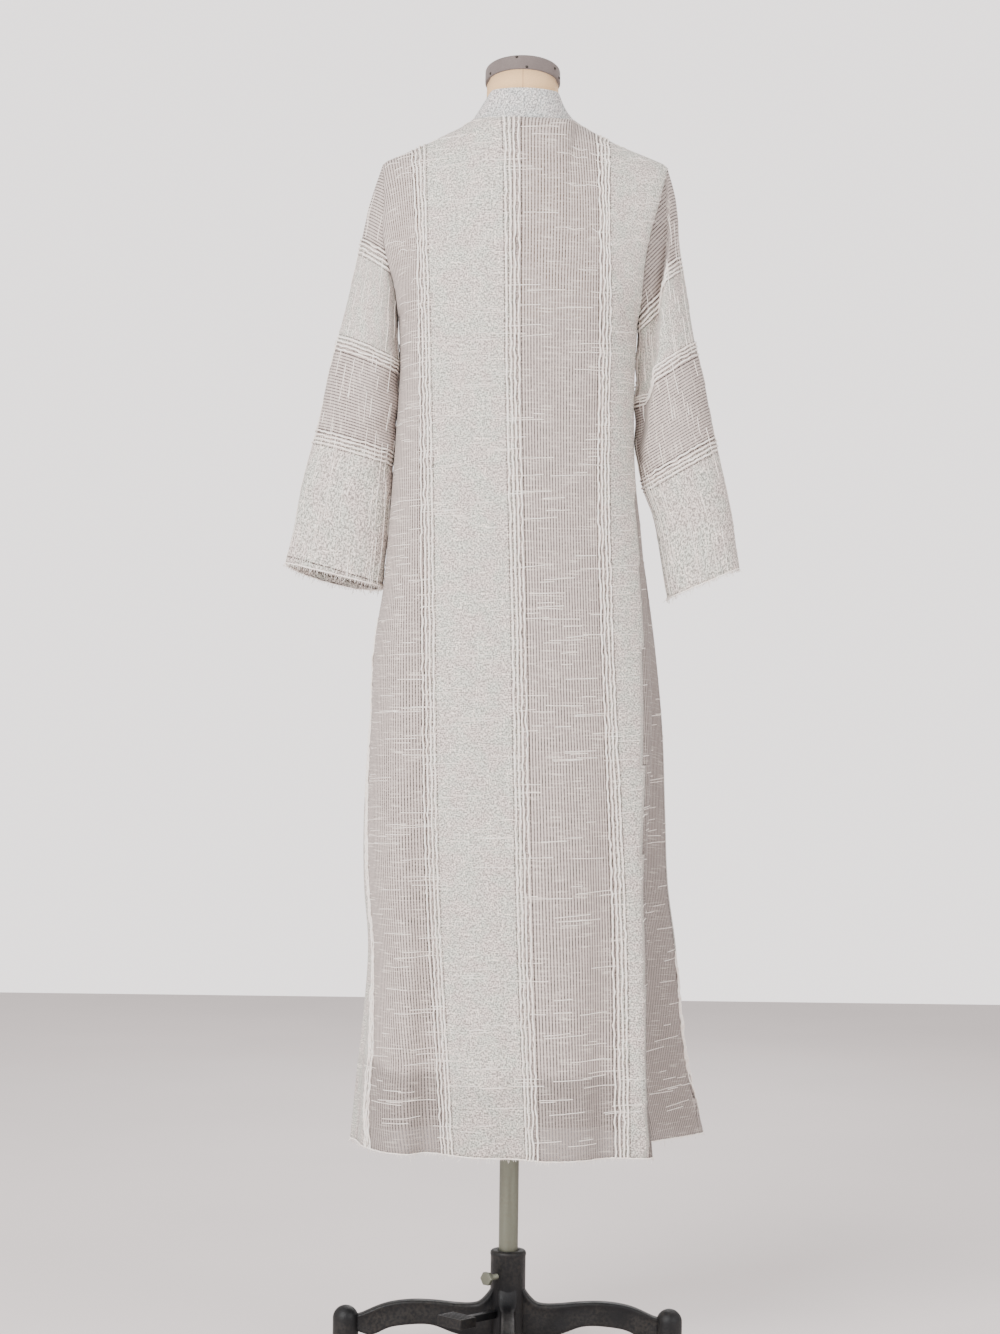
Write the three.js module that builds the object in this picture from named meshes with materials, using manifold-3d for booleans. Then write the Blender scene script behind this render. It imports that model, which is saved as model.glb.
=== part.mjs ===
// A long open-weave abaya on a limbless dress form with a four-legged iron stand.
// Millimetres, +Z up. The wearer faces +Y, so the back panel is on the -Y side.
// The stand's axis runs through X = 0, Y = 0 until the last lines centre the whole part on its box.
import * as THREE from 'three';
import { mergeVertices } from 'three/addons/utils/BufferGeometryUtils.js';
import Module from 'manifold-3d';

// ---- driving dimensions ----
const SEAM = 0.34; // gap between two sewn pieces
const ARMHOLE_GAP = 0.6; // the same at the armholes, where the two walls meet at an angle
const CLOTH = 1.6; // shell wall
const COLLAR_CLOTH = 2.0; // doubled cloth of the collar
const ROUND = 0.85; // exponent of the body's plan: 1 is an ellipse, less is squarer
const SHOULDER_ROUND = 0.77; // the same for the roll of the yoke over the shoulders

const HEM_HEIGHT = 296;
const ARMPIT_HEIGHT = 1446;
const FOLDS_START = 1250; // above this the skirt is plain, below it the folds deepen to the hem
const SKIRT_ROWS = 18;
const YOKE_ROWS = 9;

const NECK_ANGLE = 18.4; // degrees of the plan between the centre line and each neck point
const NECK_SHARE = Math.sin(NECK_ANGLE * Math.PI / 180) ** ROUND; // the same, as a share of the half width
const NECK_BACK = { height: 1719, depth: 66 };
const NECK_SIDE_HEIGHT = 1724;
const NECK_FRONT = { height: 1700, depth: 64 }; // where a round neckline would lie
const V_POINT_HEIGHT = 1560;
const V_CURVE = 0.75; // less than 1 bows the two sides of the V outwards
const ARMHOLE_DEPTH = 55; // half the armhole, front to back
const UNDERARM_REACH = 100; // how far up the armhole the sleeve and the body hang face to face

const COLLAR = { top: 1762, sideTop: 1746, halfWidth: 58, depth: 59, vTop: 1640, vDepth: 111 };
// Shares of the half width where the collar's top starts to fall.
const COLLAR_FLAT = { left: 0.7, right: 0.84 };
const LINING = { hem: 407, top: 1436, topInset: 0.021, inset: 0.07, settle: 320, wall: 0.0125, rows: 9 };

const POLE_RADIUS = 13.5;
const POLE_FOOT = 45;
const PLATE = { radius: 55, thickness: 12 };
const FORM_BASE = 890;
const NECK_TOP = { height: 1778, radius: 50, tilt: 12.5 }; // slopes down to the front
const CAP = { radius: 52.5, height: 24, dome: 5 };
const HUB = { radius: 24.5, top: 148, bottom: 22, bore: 14 };
const LEG = { width: 18, start: 25.1, end: 207.5 };
const FOOT = { reach: 226, radius: 18, height: 68 };
const SCREW = { height: 114, azimuth: 229.3, shaft: 4, tip: 14.6, headStart: 42, headEnd: 48, head: 10 };
const PEDAL = { azimuth: 225, start: 26, reach: 99, height: 63, width: 46, length: 30, thickness: 14, arm: 10 };

// ---- sections of the body, from the hem up: how far the cloth reaches each way from the axis ----
const SECTIONS = [
  { z: 296, left: 225, right: 280, back: 152, front: 158 },
  { z: 394, left: 216.5, right: 256, back: 147, front: 151 },
  { z: 488, left: 207.5, right: 243, back: 141, front: 145 },
  { z: 573, left: 203.5, right: 234, back: 136, front: 139 },
  { z: 650, left: 209.5, right: 223, back: 132, front: 134 },
  { z: 751, left: 211, right: 217, back: 127, front: 129 },
  { z: 895, left: 203.5, right: 209, back: 120, front: 123 },
  { z: 997, left: 197.5, right: 197.5, back: 115, front: 119 },
  { z: 1072, left: 186.5, right: 186.5, back: 112, front: 117 },
  { z: 1153, left: 180, right: 173.5, back: 109, front: 116 },
  { z: 1225, left: 174.5, right: 165, back: 107, front: 116 },
  { z: 1302, left: 170, right: 162, back: 107, front: 118 },
  { z: 1395, left: 167, right: 162.5, back: 110, front: 121 },
  { z: 1446, left: 170, right: 165, back: 112, front: 122 },
];

// ---- lines down the skirt, round from the left side seam by the back: the angle at which each
// starts under the arms, and where it meets the hem ----
const SKIRT_LINES = [
  { name: 'left side seam', angle: 180, x: -214, y: 8 },
  { name: 'left back edge', angle: 192, x: -203, y: -40 },
  { name: 'left back turn', angle: 204, x: -178, y: -84 },
  { name: 'left back fold', angle: 217, x: -146, y: -106 },
  { name: 'left back valley', angle: 229, x: -114, y: -88 },
  { name: 'left back rise', angle: 240.5, x: -86, y: -104 },
  { name: 'left neck line', angle: 251.6, x: -56, y: -124 },
  { name: 'centre back left', angle: 261, x: -24, y: -131 },
  { name: 'centre back', angle: 270, x: 6, y: -132 },
  { name: 'centre back fold', angle: 279, x: 38, y: -150 },
  { name: 'right neck line', angle: 288.4, x: 66, y: -152 },
  { name: 'right back turn', angle: 299.5, x: 100, y: -141 },
  { name: 'right back valley', angle: 313, x: 136, y: -113 },
  { name: 'right back edge fold', angle: 344, x: 192, y: -112 },
  { name: 'right side seam', angle: 360, x: 190, y: -50 },
  { name: 'right side valley', angle: 366, x: 186, y: 10 },
  { name: 'right front flap', angle: 378, x: 280, y: 117 },
  { name: 'right front turn', angle: 394, x: 232, y: 142 },
  { name: 'right front valley', angle: 412, x: 170, y: 120 },
  { name: 'right front neck line', angle: 431.6, x: 112, y: 156 },
  { name: 'right centre valley', angle: 440, x: 56, y: 134 },
  { name: 'centre front', angle: 450, x: 6, y: 158 },
  { name: 'left centre valley', angle: 460, x: -48, y: 136 },
  { name: 'left front neck line', angle: 468.4, x: -100, y: 154 },
  { name: 'left front valley', angle: 486, x: -150, y: 121 },
  { name: 'left front turn', angle: 504, x: -196, y: 112 },
  { name: 'left front fold', angle: 522, x: -225, y: 46 },
];
const RIGHT_SEAM = 14; // row of the right side seam in SKIRT_LINES
const PER_LINE = 2; // columns of cloth for each line
const NECK_COLUMN = 6; // place of the neck point in QUARTER

// Armhole edges, from the armpit up.
const ARMHOLE = [
  { z: 1446, left: 170, right: 165 },
  { z: 1484, left: 174, right: 169 },
  { z: 1524, left: 185, right: 172 },
  { z: 1558, left: 191, right: 178 },
  { z: 1605, left: 190, right: 190 },
  { z: 1664, left: 194, right: 204 },
];
// Shoulder line, from the neck point out, as shares of the half width.
const SHOULDER = [
  { share: NECK_SHARE, z: 1724 },
  { share: 0.443, z: 1715 },
  { share: 0.68, z: 1692 },
  { share: 0.97, z: 1668 },
  { share: 1, z: 1663 },
];

// Sleeve rings below the armhole: their outer and inner ends and half depth.
const SLEEVES = {
  left: {
    side: -1,
    tuck: 0,
    rings: [
      { outX: 210, outZ: 1616, inX: 171.2, inZ: 1428, depth: 54 },
      { outX: 223, outZ: 1554, inX: 172, inZ: 1395, depth: 51 },
      { outX: 237, outZ: 1495, inX: 173, inZ: 1362, depth: 49 },
      { outX: 254, outZ: 1421, inX: 174.5, inZ: 1325, depth: 47 },
      { outX: 270, outZ: 1353, inX: 176.5, inZ: 1285, depth: 45 },
      { outX: 283, outZ: 1292, inX: 179, inZ: 1243, depth: 43 },
      { outX: 294, outZ: 1246, inX: 181.5, inZ: 1207, depth: 41 },
      { outX: 302.5, outZ: 1209, inX: 184, inZ: 1172, depth: 40 },
      { outX: 312, outZ: 1160, inX: 188.5, inZ: 1124, depth: 38 },
      { outX: 323.5, outZ: 1104, inX: 192.5, inZ: 1072, depth: 35 },
    ],
  },
  right: {
    side: 1,
    tuck: 0.62,
    rings: [
      { outX: 217, outZ: 1614, inX: 166.8, inZ: 1428, depth: 52 },
      { outX: 223, outZ: 1552, inX: 167.5, inZ: 1398, depth: 50 },
      { outX: 232, outZ: 1494, inX: 168, inZ: 1365, depth: 48 },
      { outX: 244, outZ: 1424, inX: 169, inZ: 1330, depth: 46 },
      { outX: 261, outZ: 1360, inX: 171, inZ: 1291, depth: 44 },
      { outX: 272, outZ: 1302, inX: 174.5, inZ: 1250, depth: 42 },
      { outX: 284, outZ: 1246, inX: 180, inZ: 1210, depth: 40 },
      { outX: 296, outZ: 1194, inX: 191, inZ: 1168, depth: 38 },
      { outX: 304, outZ: 1156, inX: 200, inZ: 1124, depth: 37 },
      { outX: 311, outZ: 1104, inX: 211, inZ: 1060, depth: 35 },
    ],
  },
};
const CUFF_DROP = 12; // the front of each cuff hangs this much lower

// Dress form, from its base to the armpits: half width, and reach to back and front.
const TORSO = [
  { z: 890, half: 141, back: 90, front: 86 },
  { z: 902, half: 148, back: 96, front: 91 },
  { z: 960, half: 152, back: 99, front: 93 },
  { z: 1040, half: 140, back: 90, front: 88 },
  { z: 1130, half: 122, back: 82, front: 85 },
  { z: 1230, half: 132, back: 88, front: 95 },
  { z: 1330, half: 146, back: 95, front: 107 },
  { z: 1400, half: 152, back: 99, front: 110 },
];
const FORM_INSET = 8; // the form's yoke lies this far inside the abaya's
const FORM_THROAT = 0.42; // how much flatter the form is in front, under the V neck
const FORM_NECK = [
  { z: 1731, radius: 54, tilt: 0 },
  { z: 1745, radius: 51, tilt: 0 },
  { z: NECK_TOP.height, radius: NECK_TOP.radius, tilt: NECK_TOP.tilt },
];

// ---- small helpers ----
const radians = THREE.MathUtils.degToRad;
const mix = THREE.MathUtils.lerp;
const vector = (x, y, z) => new THREE.Vector3(x, y, z);
const signedPower = (value, power) => Math.sign(value) * Math.abs(value) ** power;

function lookUp(table, key, at, column) {
  const last = table.length - 1;
  if (at <= table[0][key]) return table[0][column];
  if (at >= table[last][key]) return table[last][column];
  const i = table.findIndex((row) => row[key] >= at);
  const share = (at - table[i - 1][key]) / (table[i][key] - table[i - 1][key]);
  return mix(table[i - 1][column], table[i][column], share);
}

function signedVolume(positions, index) {
  const corner = (i) => vector(positions[3 * i], positions[3 * i + 1], positions[3 * i + 2]);
  let volume = 0;
  for (let i = 0; i < index.length; i += 3) {
    volume += corner(index[i]).dot(corner(index[i + 1]).cross(corner(index[i + 2])));
  }
  return volume / 6;
}

function closedGeometry(positions, index) {
  const geometry = new THREE.BufferGeometry();
  if (signedVolume(positions, index) < 0) {
    for (let i = 0; i < index.length; i += 3) [index[i], index[i + 1]] = [index[i + 1], index[i]];
  }
  geometry.setAttribute('position', new THREE.Float32BufferAttribute(positions, 3));
  geometry.setIndex(index);
  return geometry;
}

// A wall of cloth between an outer and an inner grid of points, closed round all its edges.
function wallGeometry(outer, inner, wraps) {
  const rows = outer.length;
  const columns = outer[0].length;
  const spans = wraps ? columns : columns - 1;
  const positions = [outer, inner].flat(2).flatMap((point) => point.toArray());
  const at = (layer, row, column) => (layer * rows + row) * columns + (column % columns);
  const index = [];
  const quad = (a, b, c, d) => index.push(a, b, c, a, c, d);
  for (let row = 0; row + 1 < rows; row += 1) {
    for (let i = 0; i < spans; i += 1) {
      quad(at(0, row, i), at(0, row, i + 1), at(0, row + 1, i + 1), at(0, row + 1, i));
      quad(at(1, row, i), at(1, row + 1, i), at(1, row + 1, i + 1), at(1, row, i + 1));
    }
    if (!wraps) {
      const end = columns - 1;
      quad(at(0, row, 0), at(0, row + 1, 0), at(1, row + 1, 0), at(1, row, 0));
      quad(at(0, row, end), at(1, row, end), at(1, row + 1, end), at(0, row + 1, end));
    }
  }
  for (let i = 0; i < spans; i += 1) {
    const top = rows - 1;
    quad(at(0, 0, i), at(1, 0, i), at(1, 0, i + 1), at(0, 0, i + 1));
    quad(at(0, top, i), at(0, top, i + 1), at(1, top, i + 1), at(1, top, i));
  }
  return closedGeometry(positions, index);
}

// ---- the abaya's body ----
// Columns run round from the left side seam: by the back, the right side and the front.
function columnValues(column) {
  const spread = SKIRT_LINES.map((line) => column(line));
  const count = spread.length;
  return Array.from({ length: count * PER_LINE }, (_, i) => {
    const step = Math.floor(i / PER_LINE);
    const at = (offset) => spread[(step + offset + count) % count];
    return i % PER_LINE === 0 ? at(0) : (9 * (at(0) + at(1)) - at(-1) - at(2)) / 16;
  });
}

const COLUMN_ANGLES = Array.from({ length: SKIRT_LINES.length * PER_LINE }, (_, i) => {
  const line = Math.floor(i / PER_LINE);
  const next = SKIRT_LINES[line + 1]?.angle ?? 540;
  return mix(SKIRT_LINES[line].angle, next, (i % PER_LINE) / PER_LINE);
});
const COLUMNS = COLUMN_ANGLES.length;
const HEM_X = columnValues((line) => line.x);
const HEM_Y = columnValues((line) => line.y);
const SEAM_COLUMN = RIGHT_SEAM * PER_LINE;

function section(z) {
  const reach = (column) => lookUp(SECTIONS, 'z', z, column);
  return { left: reach('left'), right: reach('right'), back: reach('back'), front: reach('front') };
}

// One ring of the skirt. The plain ring under the arms turns into the folded ring of the hem,
// and each ring is stretched to reach exactly as far as its section says.
function skirtRing(z) {
  const folded = THREE.MathUtils.clamp((FOLDS_START - z) / (FOLDS_START - HEM_HEIGHT), 0, 1);
  const hem = SECTIONS[0];
  const ring = COLUMN_ANGLES.map((angle, i) => {
    const plainX = signedPower(Math.cos(radians(angle)), ROUND);
    const plainY = signedPower(Math.sin(radians(angle)), ROUND);
    const hemX = HEM_X[i] / (HEM_X[i] < 0 ? hem.left : hem.right);
    const hemY = HEM_Y[i] / (HEM_Y[i] < 0 ? hem.back : hem.front);
    return vector(mix(plainX, hemX, folded), mix(plainY, hemY, folded), z);
  });
  const reach = section(z);
  const span = new THREE.Box3().setFromPoints(ring);
  for (const point of ring) {
    point.x *= point.x < 0 ? reach.left / -span.min.x : reach.right / span.max.x;
    point.y *= point.y < 0 ? reach.back / -span.min.y : reach.front / span.max.y;
  }
  return ring;
}

// One point of the yoke, from the armpits (rise 0) to the shoulder line and neckline (rise 1).
// The share runs from -1 at the left armhole to 1 at the right one, and the inset shrinks it all.
function yokePoint(share, rise, front, inset = 0) {
  const side = share < 0 ? 'left' : 'right';
  const edge = Math.abs(share);
  const across = Math.min(edge / NECK_SHARE, 1);
  const neck = front ? NECK_FRONT : NECK_BACK;
  const top = edge > NECK_SHARE
    ? lookUp(SHOULDER, 'share', edge, 'z')
    : mix(neck.height, NECK_SIDE_HEIGHT, across ** 2);
  const topDepth = Math.max(neck.depth - inset, 0) * Math.sqrt(1 - across ** 2);
  const chest = section(ARMPIT_HEIGHT)[front ? 'front' : 'back'] - inset;
  const roll = Math.sin(rise * Math.PI / 2) ** SHOULDER_ROUND;
  const oval = (1 - Math.cos(rise * Math.PI)) / 2;
  const z = mix(ARMPIT_HEIGHT, top - inset * rise, mix(roll, oval, edge ** 4));
  const edgeZ = mix(ARMPIT_HEIGHT, lookUp(SHOULDER, 'share', 1, 'z'), oval);
  const edgeDepth = Math.max(ARMHOLE_DEPTH - inset, 0) * Math.sin(rise * Math.PI);
  const middle = topDepth + (chest - topDepth) * Math.cos(rise * Math.PI / 2) ** SHOULDER_ROUND;
  const plan = (1 - edge ** (2 / ROUND)) ** (ROUND / 2);
  const depth = edgeDepth + (middle - edgeDepth) * plan;
  return vector(share * (lookUp(ARMHOLE, 'z', edgeZ, side) - inset), front ? depth : -depth, z);
}

// How far up a column of the front panel the V neck lets it go.
function neckRise(share) {
  const across = Math.abs(share) / NECK_SHARE;
  if (across >= 1) return 1;
  const top = mix(NECK_FRONT.height, NECK_SIDE_HEIGHT, across ** 2);
  const cut = Math.min(mix(V_POINT_HEIGHT, NECK_SIDE_HEIGHT, across ** V_CURVE), top);
  const roll = (cut - ARMPIT_HEIGHT) / (top - ARMPIT_HEIGHT);
  return Math.asin(roll ** (1 / SHOULDER_ROUND)) * 2 / Math.PI;
}

const shareOf = (angle) => signedPower(Math.cos(radians(angle)), ROUND);

function bodyPanel(front) {
  const first = front ? SEAM_COLUMN : 0;
  const last = front ? COLUMNS : SEAM_COLUMN;
  const columns = Array.from({ length: last - first + 1 }, (_, i) => (first + i) % COLUMNS);
  const rows = [];
  for (let row = 0; row <= SKIRT_ROWS; row += 1) {
    const ring = skirtRing(mix(HEM_HEIGHT, ARMPIT_HEIGHT, row / SKIRT_ROWS));
    rows.push(columns.map((i) => ring[i].clone()));
  }
  for (let row = 1; row <= YOKE_ROWS; row += 1) {
    rows.push(columns.map((i) => {
      const share = shareOf(COLUMN_ANGLES[i]);
      const rise = row / YOKE_ROWS;
      return yokePoint(share, front ? rise * neckRise(share) : rise, front);
    }));
  }
  return rows;
}

// ---- sleeves: the first ring is the armhole itself ----
function sleeveRings({ side, tuck, rings }) {
  const ring = (pointAt) => Array.from({ length: 2 * YOKE_ROWS }, (_, i) => {
    const front = i > YOKE_ROWS;
    return pointAt((front ? 2 * YOKE_ROWS - i : i) / YOKE_ROWS, front);
  });
  const armhole = ring((rise, front) => yokePoint(side, rise, front));
  const lower = rings.map((row, i) => ring((rise, front) => {
    const down = (i + 1) / rings.length;
    const outward = (1 - Math.cos(rise * Math.PI)) / 2;
    const hollow = front ? 0 : tuck * Math.min(4 * down, 1) * (1 - THREE.MathUtils.smoothstep(outward, 0.16, 0.42));
    const depth = row.depth * Math.sin(rise * Math.PI) * (1 - hollow);
    const drop = front ? CUFF_DROP * down ** 2 * Math.sin(rise * Math.PI) : 0;
    const z = mix(row.inZ, row.outZ, outward) - drop;
    return vector(side * mix(row.inX, row.outX, outward), front ? depth : -depth, z);
  }));
  return [armhole, ...lower];
}

// ---- collar: a stand at the back that turns into a flat band down the V ----
function collarRings(back, front) {
  const neckline = [
    ...back.at(-1).filter((_, i) => Math.abs(shareOf(COLUMN_ANGLES[i])) < NECK_SHARE + 0.001),
    ...front.at(-1).filter((_, i) => {
      const share = shareOf(COLUMN_ANGLES[(SEAM_COLUMN + i) % COLUMNS]);
      return Math.abs(share) < NECK_SHARE - 0.001;
    }),
  ];
  const reach = Math.abs(neckline[0].x);
  const top = neckline.map((point) => {
    const across = Math.min(Math.abs(point.x) / reach, 1);
    const round = Math.sqrt(1 - across ** 2);
    const x = Math.sign(point.x) * COLLAR.halfWidth * across;
    if (point.y > 1) {
      const depth = COLLAR.vDepth * Math.sin((1 - across) * Math.PI / 2) ** 0.75;
      return vector(x, depth, mix(COLLAR.vTop, COLLAR.sideTop, across));
    }
    const flat = point.x < 0 ? COLLAR_FLAT.left : COLLAR_FLAT.right;
    const fall = THREE.MathUtils.smoothstep(across, flat, 1);
    return vector(x, -COLLAR.depth * round, mix(COLLAR.top, COLLAR.sideTop, fall));
  });
  const middle = neckline.map((point, i) => {
    const between = point.clone().lerp(top[i], 0.5);
    return between.y > 1 ? between.setY(between.y * 1.03) : between;
  });
  return [neckline, middle, top];
}

// ---- walls of cloth, with normals shared across the seams so that cut edges face each other ----
const pointKey = (point) => point.toArray().map((value) => Math.round(value * 100) + 0).join(' ');

// Area-weighted normals of the grids of one group, one for each distinct point.
function groupNormals(grids) {
  const normals = new Map();
  const faceNormal = (a, b, c) => b.clone().sub(a).cross(c.clone().sub(a));
  for (const { points, wraps, flip } of grids) {
    for (let row = 0; row + 1 < points.length; row += 1) {
      const columns = points[row].length;
      for (let i = 0; i < (wraps ? columns : columns - 1); i += 1) {
        const next = (i + 1) % columns;
        const corners = [points[row][i], points[row][next], points[row + 1][next], points[row + 1][i]];
        if (flip) corners.reverse();
        const [a, b, c, d] = corners;
        const normal = faceNormal(a, b, c).add(faceNormal(a, c, d));
        for (const corner of corners) {
          const key = pointKey(corner);
          normals.set(key, (normals.get(key) ?? vector(0, 0, 0)).add(normal));
        }
      }
    }
  }
  for (const normal of normals.values()) normal.normalize();
  return normals;
}

// Normals of every piece. Where two groups meet, the normal lies halfway between theirs.
function sharedNormals(groups, bias, shoulder) {
  const shared = new Map();
  for (const group of groups) {
    for (const [key, normal] of groupNormals(group)) {
      shared.set(key, (shared.get(key) ?? vector(0, 0, 0)).add(normal));
    }
  }
  for (const [key, extra] of bias) shared.get(key).add(extra);
  for (const key of shoulder) shared.get(key).setY(0);
  for (const normal of shared.values()) normal.normalize();
  return shared;
}

function clothWall(points, normals, thickness, wraps, move) {
  const layer = (depth) => points.map((row, rowIndex) => row.map((point, i) => point.clone()
    .addScaledVector(normals.get(pointKey(point)), -depth)
    .add(move(point, rowIndex, i))));
  return wallGeometry(layer(0), layer(thickness), wraps);
}

const onShoulder = (point) => Math.abs(point.y) < 0.01 && point.z > NECK_SIDE_HEIGHT - 70;

function clothPieces() {
  const back = bodyPanel(false);
  const front = bodyPanel(true);
  const left = sleeveRings(SLEEVES.left);
  const right = sleeveRings(SLEEVES.right);
  const collar = collarRings(back, front);
  const underarm = [...left[0], ...right[0]]
    .filter((point) => point.z < ARMPIT_HEIGHT + UNDERARM_REACH)
    .map((point) => [pointKey(point), vector(0, 0, -0.4)]);
  const normals = sharedNormals([
    [{ points: back }, { points: front }],
    [{ points: left, wraps: true }, { points: right, wraps: true, flip: true }],
    [{ points: collar, wraps: true }],
  ], underarm, [...back.at(-1), ...front.at(-1)].filter(onShoulder).map(pointKey));
  const still = vector(0, 0, 0);
  const panelMove = (side) => (point, row, i) => {
    const backSide = row <= SKIRT_ROWS && (i === 0 || i === back[0].length - 1);
    const frontSide = row <= SKIRT_ROWS && (i === 0 || i === front[0].length - 1);
    const sewn = (side > 0 ? frontSide : backSide) || onShoulder(point);
    return sewn ? vector(0, side * SEAM / 2, 0) : still;
  };
  const sleeveMove = (side) => (point, row) => (row === 0 ? vector(side * ARMHOLE_GAP, 0, 0) : still);
  const collarMove = (point, row) => {
    if (row > 0) return still;
    return vector(point.y > 1 ? -Math.sign(Math.round(point.x)) * 0.6 * SEAM : 0, 0, SEAM);
  };
  return {
    back_panel: clothWall(back, normals, CLOTH, false, panelMove(-1)),
    front_panel: clothWall(front, normals, CLOTH, false, panelMove(1)),
    sleeve_left: clothWall(left, normals, CLOTH, true, sleeveMove(-1)),
    sleeve_right: clothWall(right, normals, CLOTH, true, sleeveMove(1)),
    collar: clothWall(collar, normals, COLLAR_CLOTH, true, collarMove),
  };
}

// ---- lining: a plain tube inside the shell, drawn in towards the axis ----
function liningGeometry() {
  const rings = (extra) => Array.from({ length: LINING.rows + 1 }, (_, row) => {
    const z = mix(LINING.hem, LINING.top, row / LINING.rows);
    const settled = THREE.MathUtils.smoothstep(LINING.top - z, 0, LINING.settle);
    const scale = 1 - mix(LINING.topInset, LINING.inset, settled) - extra;
    return skirtRing(z).map((point) => vector(point.x * scale, point.y * scale, z));
  });
  return wallGeometry(rings(0), rings(LINING.wall), true);
}

// ---- dress form: one smooth closed body under the cloth ----
// Its columns mirror each other, so that its back and front halves share the line of the shoulders.
const QUARTER = [0, 10, 21, 33, 46, 59, 90 - NECK_ANGLE, 80.8, 90];

function formGeometry() {
  const right = QUARTER.map((angle) => signedPower(Math.cos(radians(angle)), ROUND));
  const shares = [...right.slice(0, -1), 0, ...right.slice(0, -1).reverse().map((share) => -share)];
  const half = (row, front) => (front ? shares : [...shares].reverse()).map((share) => {
    if (row.z === undefined) {
      const point = yokePoint(share, row.rise, front, FORM_INSET);
      return front ? point.setY(point.y * (1 - FORM_THROAT * row.rise ** 2)) : point;
    }
    const depth = (1 - Math.abs(share) ** (2 / ROUND)) ** (ROUND / 2) * (front ? row.front : -row.back);
    return vector(row.half * share, depth, row.z);
  });
  const joined = (back, front) => [...back, ...front.slice(1, -1)];
  const yokeRows = Array.from({ length: YOKE_ROWS + 1 }, (_, row) => ({ rise: row / YOKE_ROWS }));
  const back = yokeRows.map((row) => half(row, false));
  const front = yokeRows.map((row) => half(row, true));
  const torso = TORSO.map((row) => joined(half(row, false), half(row, true)));
  const inNeck = (_, i, row) => i >= NECK_COLUMN && i <= row.length - 1 - NECK_COLUMN;
  const neckline = joined(back.at(-1).filter(inNeck), front.at(-1).filter(inNeck));
  const [left] = neckline;
  const rightPoint = neckline[neckline.length / 2];
  const neck = FORM_NECK.map(({ z, radius, tilt }) => neckline.map((point) => {
    const across = point.x < 0 ? -point.x / left.x : point.x / rightPoint.x;
    const round = Math.sqrt(Math.max(1 - across ** 2, 0)) * radius;
    const y = point.y > 0 ? round : -round;
    return vector(across * radius, y, z - y * Math.tan(radians(tilt)));
  }));

  const soup = [];
  const strip = (rings, wraps) => {
    for (let row = 0; row + 1 < rings.length; row += 1) {
      const count = rings[row].length;
      for (let i = 0; i < (wraps ? count : count - 1); i += 1) {
        const next = (i + 1) % count;
        const [a, b] = [rings[row][i], rings[row][next]];
        const [c, d] = [rings[row + 1][next], rings[row + 1][i]];
        soup.push(a, b, c, a, c, d);
      }
    }
  };
  const fan = (ring, turned) => {
    const centre = ring.reduce((sum, point) => sum.add(point), vector(0, 0, 0)).divideScalar(ring.length);
    ring.forEach((point, i) => {
      const next = ring[(i + 1) % ring.length];
      soup.push(centre, ...(turned ? [next, point] : [point, next]));
    });
  };
  strip([...torso, joined(back[0], front[0])], true);
  strip(back, false);
  strip(front, false);
  strip([neckline, ...neck], true);
  fan(torso[0], true);
  fan(neck.at(-1), false);
  const armhole = (backColumn, frontColumn) => [
    ...back.map((row) => row.at(backColumn)),
    ...front.map((row) => row.at(frontColumn)).slice(1, -1).reverse(),
  ];
  fan(armhole(0, -1), false);
  fan(armhole(-1, 0), true);
  return mergedGeometry(soup);
}

function mergedGeometry(soup) {
  const loose = new THREE.BufferGeometry();
  loose.setAttribute('position', new THREE.Float32BufferAttribute(soup.flatMap((point) => point.toArray()), 3));
  const merged = mergeVertices(loose, 2e-3);
  return closedGeometry([...merged.attributes.position.array], [...merged.index.array]);
}

// ---- stand ----
const wasm = await Module();
wasm.setup();

function toManifold(geometry) {
  const bare = new THREE.BufferGeometry();
  const source = geometry.index ? geometry.toNonIndexed() : geometry;
  bare.setAttribute('position', source.attributes.position);
  const merged = mergeVertices(bare, 1e-4);
  return new wasm.Manifold(new wasm.Mesh({
    numProp: 3,
    vertProperties: new Float32Array(merged.attributes.position.array),
    triVerts: new Uint32Array(merged.index.array),
  }));
}

function fromManifold(solid) {
  const mesh = solid.getMesh();
  const geometry = new THREE.BufferGeometry();
  geometry.setAttribute('position', new THREE.BufferAttribute(mesh.vertProperties, 3));
  geometry.setIndex(new THREE.BufferAttribute(mesh.triVerts, 1));
  return geometry;
}

// A turned piece standing on +Z, from [radius, height] pairs.
function turned(profile, segments) {
  const points = profile.map(([radius, height]) => new THREE.Vector2(radius, height));
  return new THREE.LatheGeometry(points, segments).rotateX(Math.PI / 2);
}

// A bar cut from a flat outline of [reach, height] pairs, upright along +X.
function barAlongX(outline, width) {
  const shape = new THREE.Shape(outline.map(([reach, height]) => new THREE.Vector2(reach, height)));
  return new THREE.ExtrudeGeometry(shape, { depth: width, bevelEnabled: false })
    .translate(0, 0, -width / 2)
    .rotateX(Math.PI / 2);
}

function screwGeometry() {
  return turned([
    [0, SCREW.tip], [SCREW.shaft, SCREW.tip], [SCREW.shaft, SCREW.headStart], [SCREW.head - 1, SCREW.headStart],
    [SCREW.head, SCREW.headStart + 1], [SCREW.head, SCREW.headEnd - 1], [SCREW.head - 1, SCREW.headEnd],
    [0, SCREW.headEnd],
  ], 20).rotateY(Math.PI / 2);
}

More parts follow.
